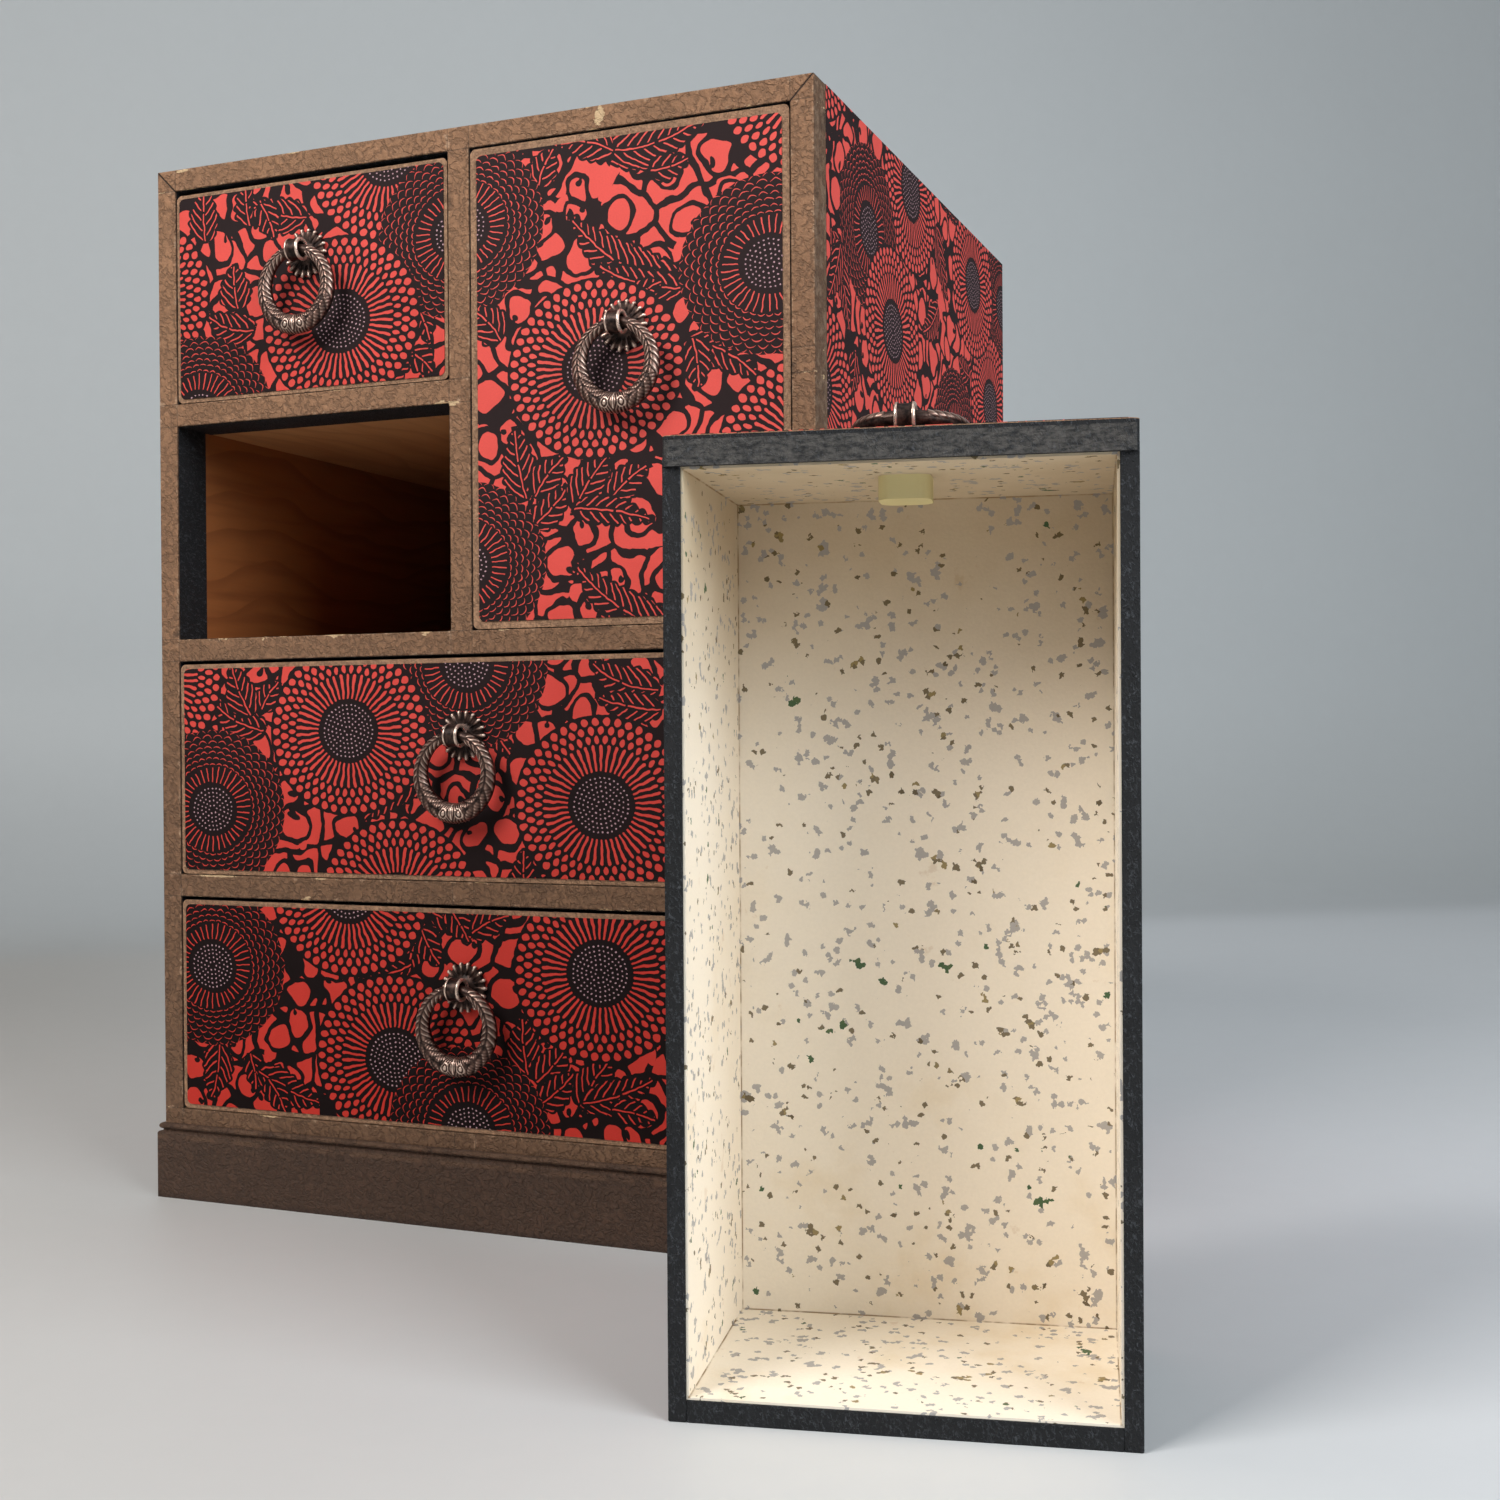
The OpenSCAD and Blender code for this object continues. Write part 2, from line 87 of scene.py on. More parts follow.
class Graph:
    def __init__(self, tree):
        self.tree = tree

    def feed(self, value, socket):
        if isinstance(value, Wire):
            self.tree.links.new(value.socket, socket)
        else:
            socket.default_value = value

    def node(self, kind, inputs=None, **settings):
        made = self.tree.nodes.new(kind)
        for name, value in settings.items():
            setattr(made, name, value)
        for name, value in (inputs or {}).items():
            self.feed(value, made.inputs[name])
        return made

    def math(self, operation, *values):
        made = self.tree.nodes.new("ShaderNodeMath")
        made.operation = operation
        for i, value in enumerate(values):
            self.feed(value, made.inputs[i])
        return Wire(self, made.outputs[0])

    def fract(self, a):
        return self.math("FRACT", a)

    def floor(self, a):
        return self.math("FLOOR", a)

    def nearest(self, a):
        return self.math("ROUND", a)

    def least(self, a, b):
        return self.math("MINIMUM", a, b)

    def most(self, a, b):
        return self.math("MAXIMUM", a, b)

    def root(self, a):
        return self.math("SQRT", a)

    def reach(self, x, y):
        return self.root(x * x + y * y)

    def blend(self, factor, a, b):
        return a + (b - a) * factor

    def ease(self, low, high, value):
        return Wire(self, self.node(
            "ShaderNodeMapRange",
            {"Value": value, "From Min": low, "From Max": high},
            interpolation_type="SMOOTHSTEP",
        ).outputs[0])

    def vector(self, x, y, z=0.0):
        return Wire(self, self.node("ShaderNodeCombineXYZ", {"X": x, "Y": y, "Z": z}).outputs[0])

    def split(self, vector):
        made = self.node("ShaderNodeSeparateXYZ", {"Vector": vector})
        return [Wire(self, socket) for socket in made.outputs]

    def noise(self, vector, scale, detail=2.0, roughness=0.5):
        inputs = {"Vector": vector, "Scale": scale, "Detail": detail, "Roughness": roughness}
        return Wire(self, self.node("ShaderNodeTexNoise", inputs).outputs[0])

    def cells(self, vector, scale, feature="F1", randomness=1.0, dimensions="2D"):
        made = self.node(
            "ShaderNodeTexVoronoi",
            {"Vector": vector, "Scale": scale, "Randomness": randomness},
            voronoi_dimensions=dimensions,
            feature=feature,
        )
        return {socket.name: Wire(self, socket) for socket in made.outputs if socket.enabled}

    def colour(self, factor, a, b):
        made = self.node("ShaderNodeMix", data_type="RGBA")
        self.feed(factor, made.inputs[0])
        self.feed(a, made.inputs[6])
        self.feed(b, made.inputs[7])
        return Wire(self, made.outputs[2])

    def shade(self, colour, value):
        made = self.node("ShaderNodeMix", data_type="RGBA", blend_type="MULTIPLY")
        made.inputs[0].default_value = 1.0
        self.feed(colour, made.inputs[6])
        grey = self.node("ShaderNodeCombineColor", {"Red": value, "Green": value, "Blue": value})
        self.tree.links.new(grey.outputs[0], made.inputs[7])
        return Wire(self, made.outputs[2])

    def use(self, group, inputs=None):
        made = self.tree.nodes.new("ShaderNodeGroup")
        made.node_tree = group
        for name, value in (inputs or {}).items():
            self.feed(value, made.inputs[name])
        return {socket.name: Wire(self, socket) for socket in made.outputs}


def makeGroup(name, inputs, outputs, body):
    tree = bpy.data.node_groups.new(name, "ShaderNodeTree")
    for label, default in inputs.items():
        kind = {3: "NodeSocketVector", 4: "NodeSocketColor"}.get(
            len(default) if isinstance(default, tuple) else 1, "NodeSocketFloat"
        )
        socket = tree.interface.new_socket(label, in_out="INPUT", socket_type=kind)
        socket.default_value = default
    for label, kind in outputs.items():
        tree.interface.new_socket(label, in_out="OUTPUT", socket_type="NodeSocket" + kind)
    graph = Graph(tree)
    entry = tree.nodes.new("NodeGroupInput")
    leave = tree.nodes.new("NodeGroupOutput")
    results = body(graph, {s.name: Wire(graph, s) for s in entry.outputs if s.name})
    for label, wire in results.items():
        graph.feed(wire, leave.inputs[label])
    return tree


def rgb(text):
    values = [int(text[i:i + 2], 16) / 255 for i in (0, 2, 4)]
    return tuple(v / 12.92 if v < 0.04045 else ((v + 0.055) / 1.055) ** 2.4 for v in values) + (1.0,)


def makeMaterial(name, body):
    material = bpy.data.materials.new(name)
    material.use_nodes = True
    tree = material.node_tree
    tree.nodes.clear()
    graph = Graph(tree)
    shader = tree.nodes.new("ShaderNodeBsdfPrincipled")
    output = tree.nodes.new("ShaderNodeOutputMaterial")
    tree.links.new(shader.outputs[0], output.inputs[0])
    made = body(graph)
    bump = made.pop("Bump", None)
    for socketName, value in made.items():
        graph.feed(value, shader.inputs[socketName])
    if bump:
        height, strength, distance = bump
        node = graph.node("ShaderNodeBump", {"Height": height, "Strength": strength, "Distance": distance})
        tree.links.new(node.outputs[0], shader.inputs["Normal"])
    return material


def objectPoint(graph):
    made = graph.node("ShaderNodeTexCoord")
    return Wire(graph, made.outputs["Object"]), Wire(graph, made.outputs["Normal"])


def millimetres(graph, point):
    return [w * 1000.0 for w in graph.split(point)]


def here(x=0.0, y=0.0, z=0.0, **more):
    return {"X": x, "Y": y, "Z": z, **more}


def zeros(*names):
    return dict.fromkeys(names, 0.0)


def masks(*names):
    return dict.fromkeys(names, "Float")


def finish(values, colour, roughness, height):
    return {"Base Color": colour, "Roughness": roughness, "Specular IOR Level": values["gloss"],
            "Bump": (height, *values["bump"])}


surface = {"Colour": "Color", "Height": "Float", "Roughness": "Float"}


# In the dictionaries below a noise is (scale, detail, at times roughness), an ease (start, end) and a
# bump (strength, metres). Lengths are in millimetres, but in metres for bevels and in the studio

# Places shared with the solids
place = {
    "halfWidth": 102.0,
    "height": 300.0,
    "railEdges": (26.2, 88.3, 94.7, 156.8, 163.2, 225.3, 231.7, 293.8, 300.0),
    "stileEdges": (-95.6, -4.0, 2.6, 95.6),
    "drawerLength": 192.6,
    "stood": (140.865, -38.0),
    "stoodTurn": math.radians(11),
    "stoodPull": 38.75,
    "stoodBay": 163.2,
    "pivotOut": 5.1212,
    "footReach": 20.9,
}


# Where each pull is on its drawer, across and up, from the rings' hinges
drawerNames = ("top_left", "tall", "upper_wide", "lower_wide", "taken_out")
hinges = {j["child"]: Vector(j["pos_m"]) for j in frame["joints"] if j["type"] == "hinge"}
pullPlaces = {name: (hinges[name + "_pull_ring"].x * 1000, hinges[name + "_pull_ring"].z * 1000)
              for name in drawerNames}
pullPlaces["taken_out"] = (0.0, place["stoodPull"])


def localPoint(graph, stood):
    x, y, z = millimetres(graph, objectPoint(graph)[0])
    if not stood:
        return x, y, z
    c, s = math.cos(place["stoodTurn"]), math.sin(place["stoodTurn"])
    dx, dy = x - place["stood"][0], y - place["stood"][1]
    return (dx * c + dy * s) * -1.0, place["drawerLength"] - z, dx * s - dy * c


# Printed paper: flowers, leaves and vine cells, a group each

printValues = {
    "red": rgb("C5362C"),
    # Painted sheen: red and ink blend towards the two paler colours here as they rise between the two
    # heights below
    "redSheen": rgb("E65A52"),
    "ink": rgb("110505"),
    "inkSheen": rgb("2B1F20"),
    "paintedLightFrom": 20.0,
    "paintedLightTo": 260.0,
    "sheenUneven": 70.0,
    "dot": rgb("C09AA2"),
    "scuff": rgb("6A6468"),
    "period": (2000.0, 2000.0),
    "flowerRadius": {"light": 26.1, "dark": 25.0},
    "stretch": 1.09,
    "wobble": 0.35,
    "wobbleReach": 0.9,
    "wobbleShift": 9.0,
    "weave": (2.2, 3.0, 0.7),
    "blotch": (0.05, 3.0),
    "scuffs": (0.5, 5.0, 0.7),
    "scuffEase": (0.66, 0.76),
    "redRoughness": 0.58,
    "inkRoughness": 0.66,
    "gloss": 0.14,
    "bump": (0.35, 0.00012),
}


def fromCentre(g, value, centre, period):
    away = value - centre
    return away - g.nearest(away / period) * period


def pickFlower(g, i):
    dx = fromCentre(g, i["X"], i["Centre X"], i["Period X"])
    dy = fromCentre(g, i["Y"], i["Centre Y"], i["Period Y"])
    hit = g.reach(dx, dy * printValues["stretch"]) < i["Radius"]
    return {
        "Local X": g.blend(hit, i["Local X"], dx),
        "Local Y": g.blend(hit, i["Local Y"], dy),
        "Kind": g.blend(hit, i["Kind"], i["New Kind"]),
        "Cover": g.most(hit, i["Cover"]),
    }


flowerState = ("Local X", "Local Y", "Kind", "Cover")
flowerGroup = makeGroup(
    "flower here",
    {**zeros("X", "Y", "Centre X", "Centre Y", "New Kind", *flowerState), "Period X": 2000.0,
     "Period Y": 2000.0, "Radius": 27.0},
    masks(*flowerState),
    pickFlower,
)


seedValues = {"spacing": 1.32, "size": 0.24, "crowding": 0.95, "spread": 1.05, "ringShift": 0.37}
lightFlowerValues = {
    "petals": 46.0, "disc": 9.2, "petalFrom": 0.9, "petalEnd": 17.6, "tipIn": 0.2, "stroke": 0.205,
    "rows": 3, "rowStep": 2.6, "rowsIn": 0.4, "gap": 0.58, "long": 1.22, "roundness": 1.8, "seedsIn": 0.7,
}
darkFlowerValues = {
    "rays": 38.0, "disc": 7.4, "rayFrom": 1.2, "rayEnd": 13.2, "stroke": 0.175, "uneven": 0.7,
    "unevenFoot": 0.4, "scatter": 12.9, "rowStep": 1.78, "rowsFrom": 1.3, "rowsIn": 0.6, "bow": 0.4,
    "crescent": 0.4, "line": (0.07, 0.08),
}


def seedDots(g, r, turn):
    v = seedValues
    ring = g.nearest(r / v["spacing"])
    count = g.nearest(ring * (2 * math.pi * v["crowding"]))
    across = (g.fract(turn * count + ring * v["ringShift"]) - 0.5) * (v["spacing"] * v["spread"])
    return g.reach(across, r - ring * v["spacing"]) < v["size"]


def lightFlower(g, i):
    v = lightFlowerValues
    petals, disc, petalEnd, rowStep = v["petals"], v["disc"], v["petalEnd"], v["rowStep"]
    y = i["Y"] * printValues["stretch"]
    r = g.reach(i["X"], y)
    turn = g.math("ARCTAN2", y, i["X"]) / (2 * math.pi)
    pitch = r * (2 * math.pi / petals)
    across = abs(g.fract(turn * petals) - 0.5) * pitch
    thin = pitch * v["stroke"]
    past = g.most(g.most(r - (petalEnd - v["tipIn"]) + thin, (disc + v["petalFrom"]) - r), 0.0)
    red = (g.reach(across, past) < thin) * (r < petalEnd)
    half = pitch / 2.0 - v["gap"]
    for parity in (0.0, 1.0):
        away = abs(g.fract(turn * petals + (1.0 - parity) * 0.5) - 0.5) * pitch
        step = (r - petalEnd) / (2 * rowStep) - (0.5 + parity) / 2
        out = abs(step - g.nearest(step)) * (2 * rowStep)
        oval = ((away / half) ** v["roundness"] + (out / v["long"]) ** v["roundness"]) < 1.0
        red = g.most(red, oval * (r > petalEnd - v["rowsIn"]) * (r < petalEnd + v["rows"] * rowStep))
    return {"Red": red, "Dot": seedDots(g, r, turn) * (r < disc - v["seedsIn"])}


lightGroup = makeGroup("light chrysanthemum", zeros("X", "Y"), masks("Red", "Dot"), lightFlower)


def darkFlower(g, i):
    v = darkFlowerValues
    rays, disc, rayEnd, rowStep = v["rays"], v["disc"], v["rayEnd"], v["rowStep"]
    y = i["Y"] * printValues["stretch"]
    r = g.reach(i["X"], y)
    turn = g.math("ARCTAN2", y, i["X"]) / (2 * math.pi)
    ray = turn * rays
    uneven = g.math("SINE", g.floor(ray) * v["scatter"]) * v["uneven"]
    pitch = r * (2 * math.pi / rays)
    across = abs(g.fract(ray) - 0.5) * pitch
    foot = disc + v["rayFrom"] - uneven * v["unevenFoot"]
    red = (across < v["stroke"]) * (r > foot) * (r < rayEnd + uneven)
    for parity in (0.0, 1.0):
        along = (g.fract(ray + parity * 0.5) - 0.5) * pitch
        bent = r + along * along * v["bow"] - (rayEnd + v["rowsFrom"] + rowStep * parity)
        step = bent / (2 * rowStep)
        away = abs(step - g.nearest(step)) * (2 * rowStep)
        taper = 1.0 - (along / (pitch * v["crescent"])) ** 2.0
        line = taper * v["line"][0] + v["line"][1]
        red = g.most(red, (away < line) * (taper > 0.0) * (bent > -v["rowsIn"]))
    return {"Red": red, "Dot": seedDots(g, r, turn) * (r < disc)}


darkGroup = makeGroup("dark chrysanthemum", zeros("X", "Y"), masks("Red", "Dot"), darkFlower)


leafValues = {
    "from": -0.04, "to": 1.02, "swell": (0.93, 0.05, 0.7), "leastHalf": 0.5, "lobes": 0.8,
    "spacing": 2.9, "stroke": 0.2, "lean": 0.55, "curl": 0.15, "ribEnd": 0.95, "ribBreaks": (1.7, 0.1, 0.93),
    "veinLine": (0.1, 0.08), "veinTaper": 0.4, "veinFrom": 0.75, "veinMargin": 0.8,
}


def pickLeaf(g, i):
    v = leafValues
    grow, start, power = v["swell"]
    dx = fromCentre(g, i["X"], i["Base X"], i["Period X"])
    dy = fromCentre(g, i["Y"], i["Base Y"], i["Period Y"])
    c, s = g.math("COSINE", i["Angle"]), g.math("SINE", i["Angle"])
    along = dx * c + dy * s
    part = along / i["Length"]
    side = dy * c - dx * s - i["Bend"] * part * (1.0 - part) * 4.0
    swell = g.least(g.most(part * grow + start, 0.0), 1.0) ** power * math.pi
    width = g.math("SINE", swell) * i["Width"] + v["leastHalf"]
    wave = along * (math.pi / v["spacing"]) + (side > 0.0) * (math.pi / 2)
    lobe = abs(g.math("SINE", wave)) * v["lobes"]
    edge = width + lobe - abs(side)
    hit = (edge > 0.0) * (part > v["from"]) * (part < v["to"])
    return {
        "Along": g.blend(hit, i["Along"], along),
        "Side": g.blend(hit, i["Side"], side),
        "Edge": g.blend(hit, i["Edge"], edge),
        "Part": g.blend(hit, i["Part"], part),
        "Cover": g.most(hit, i["Cover"]),
    }


leafState = ("Along", "Side", "Edge", "Part", "Cover")
leafGroup = makeGroup(
    "leaf here",
    {**zeros("X", "Y", "Base X", "Base Y", "Angle", "Bend", *leafState),
     "Period X": 2000.0, "Period Y": 2000.0, "Length": 20.0, "Width": 4.0},
    masks(*leafState),
    pickLeaf,
)


def leafVeins(g, i):
    v = leafValues
    spacing, stroke, lean, curl = [v[k] for k in ("spacing", "stroke", "lean", "curl")]
    often, shift, share = v["ribBreaks"]
    far = abs(i["Side"])
    whole = g.fract(i["Part"] * often + shift) < share
    rib = (far < stroke) * (i["Part"] > 0.0) * (i["Part"] < v["ribEnd"]) * whole
    slant = i["Along"] - far * lean - far * far * curl + (i["Side"] > 0.0) * (spacing / 2)
    steep = g.root((far * (2 * curl) + lean) ** 2.0 + 1.0)
    fromVein = abs(g.fract(slant / spacing) - 0.5) * spacing / steep
    line = far * v["veinLine"][0] + v["veinLine"][1]
    thick = g.least(line, g.least(i["Edge"] * v["veinTaper"], stroke))
    vein = (fromVein < thick) * (far > v["veinFrom"]) * (i["Edge"] > v["veinMargin"])
    return {"Red": g.most(rib, vein)}


veinGroup = makeGroup("leaf veins", zeros("Along", "Side", "Edge", "Part"), masks("Red"), leafVeins)


vineValues = {
    "size": 11.6, "line": 0.7, "random": 0.8, "sway": 8.0, "swayNoise": (0.09, 1.0), "swayShift": 40.0,
    "blob": (3.05, 1.2), "squash": (1.04, 0.96), "ringWidth": 1.25, "corner": 0.4,
    "openings": (0.1, 0.0), "openFrom": 0.7, "openBy": 3.0,
    "hooked": 0.42, "knob": 0.95, "knobIn": 1.2, "stem": 0.45, "stemBow": 0.2,
}


def vineCells(g, i):
    v = vineValues
    size = v["size"]
    point = g.vector(i["X"], i["Y"])
    turned = g.vector(i["Y"] + v["swayShift"], i["X"])
    sway = [(g.noise(p, *v["swayNoise"]) - 0.5) * v["sway"] for p in (point, turned)]
    x, y = i["X"] + sway[0], i["Y"] + sway[1]
    warped = g.vector(x / size, y / size)
    cell = g.cells(warped, 1.0, randomness=v["random"])
    edge = g.cells(warped, 1.0, "DISTANCE_TO_EDGE", randomness=v["random"])["Distance"]
    fromEdge = edge * size - v["line"]
    px, py, _ = g.split(cell["Position"])
    r1, r2, r3 = g.split(cell["Color"])
    dx, dy = x - px * size, y - py * size
    angle = r1 * (2 * math.pi)
    c, s = g.math("COSINE", angle), g.math("SINE", angle)
    lx, ly = dx * c + dy * s, dy * c - dx * s
    radius = r2 * v["blob"][1] + v["blob"][0]
    far = g.reach(dx * v["squash"][0], dy * v["squash"][1])
    blob = (far < radius) * (fromEdge > 0.0)
    room = fromEdge + (g.noise(point, *v["openings"]) > v["openFrom"]) * v["openBy"]
    past = far - radius - v["ringWidth"]
    rest = (past > 0.0) * (room > 0.0) * (past * room > v["corner"])
    inward = lx - (radius - v["knobIn"])
    stem = (abs(ly - inward * inward * v["stemBow"]) < v["stem"]) * (inward > 0.0)
    hook = g.most(g.reach(inward, ly) < v["knob"], stem)
    return {"Red": g.most(blob * (1.0 - hook * (r3 > v["hooked"])), rest)}


vineGroup = makeGroup("vine cells", zeros("X", "Y"), masks("Red"), vineCells)


def paperInk(g, i):
    v = printValues
    point = g.vector(i["X"], i["Y"], i["Z"])
    weave = g.noise(point, *v["weave"])
    blotch = g.noise(point, *v["blotch"])
    # Painted sheen: red and ink turn paler with height, unevenly by the blotch noise
    sheen = g.ease(v["paintedLightFrom"], v["paintedLightTo"], i["Height Up"] + (blotch - 0.5) * v["sheenUneven"])
    ink = g.colour(sheen, i["Ink Colour"], v["inkSheen"])
    tone = g.colour(i["Red"], ink, g.colour(sheen, i["Red Colour"], v["redSheen"]))
    tone = g.colour(i["Dot"], tone, i["Dot Colour"])
    tone = g.shade(tone, weave * 0.22 + blotch * 0.16 + 0.81)
    scuffed = g.ease(*v["scuffEase"], g.noise(point, *v["scuffs"])) * 0.12
    tone = g.colour(scuffed * (1.0 - i["Red"]), tone, v["scuff"])
    roughness = g.blend(i["Red"], v["inkRoughness"], v["redRoughness"]) + weave * 0.12
    return {"Colour": tone, "Roughness": roughness, "Height": weave}


inkGroup = makeGroup(
    "printed paper",
    {**zeros("X", "Y", "Z", "Height Up", "Red", "Dot"),
     "Red Colour": printValues["red"], "Ink Colour": printValues["ink"], "Dot Colour": printValues["dot"]},
    surface,
    paperInk,
)


def printedSheet(g, x, y, sheet):
    wobble, reach = printValues["wobble"], printValues["wobbleReach"]
    wx = x + (g.noise(g.vector(x * wobble, y * wobble), 1.0, 1.0) - 0.5) * reach
    wy = y + (g.noise(g.vector(y * wobble + printValues["wobbleShift"], x * wobble), 1.0, 1.0) - 0.5) * reach
    periodX, periodY = sheet.get("period", printValues["period"])
    leaf = zeros(*leafState)
    for baseX, baseY, tipX, tipY, width, bend in sheet["leaves"]:
        leaf = g.use(leafGroup, {
            "X": wx, "Y": wy, "Base X": baseX, "Base Y": baseY, "Period X": periodX, "Period Y": periodY,
            "Angle": math.atan2(tipY - baseY, tipX - baseX),
            "Length": math.hypot(tipX - baseX, tipY - baseY), "Width": width, "Bend": bend, **leaf,
        })
    flower = zeros(*flowerState)
    for kind, cx, cy in sheet["flowers"]:
        flower = g.use(flowerGroup, {
            "X": wx, "Y": wy, "Centre X": cx, "Centre Y": cy, "Period X": periodX, "Period Y": periodY,
            "Radius": printValues["flowerRadius"][kind], "New Kind": float(kind == "dark"), **flower,
        })
    local = {"X": flower["Local X"], "Y": flower["Local Y"]}
    light, dark = g.use(lightGroup, local), g.use(darkGroup, local)
    red = g.use(vineGroup, {"X": wx, "Y": wy})["Red"]
    veins = g.use(veinGroup, {k: leaf[k] for k in ("Along", "Side", "Edge", "Part")})["Red"]
    red = g.blend(leaf["Cover"], red, veins)
    bloom = g.blend(flower["Kind"], light["Red"], dark["Red"])
    red = g.blend(flower["Cover"], red, bloom)
    dot = g.blend(flower["Kind"], light["Dot"], dark["Dot"]) * flower["Cover"]
    return red, dot


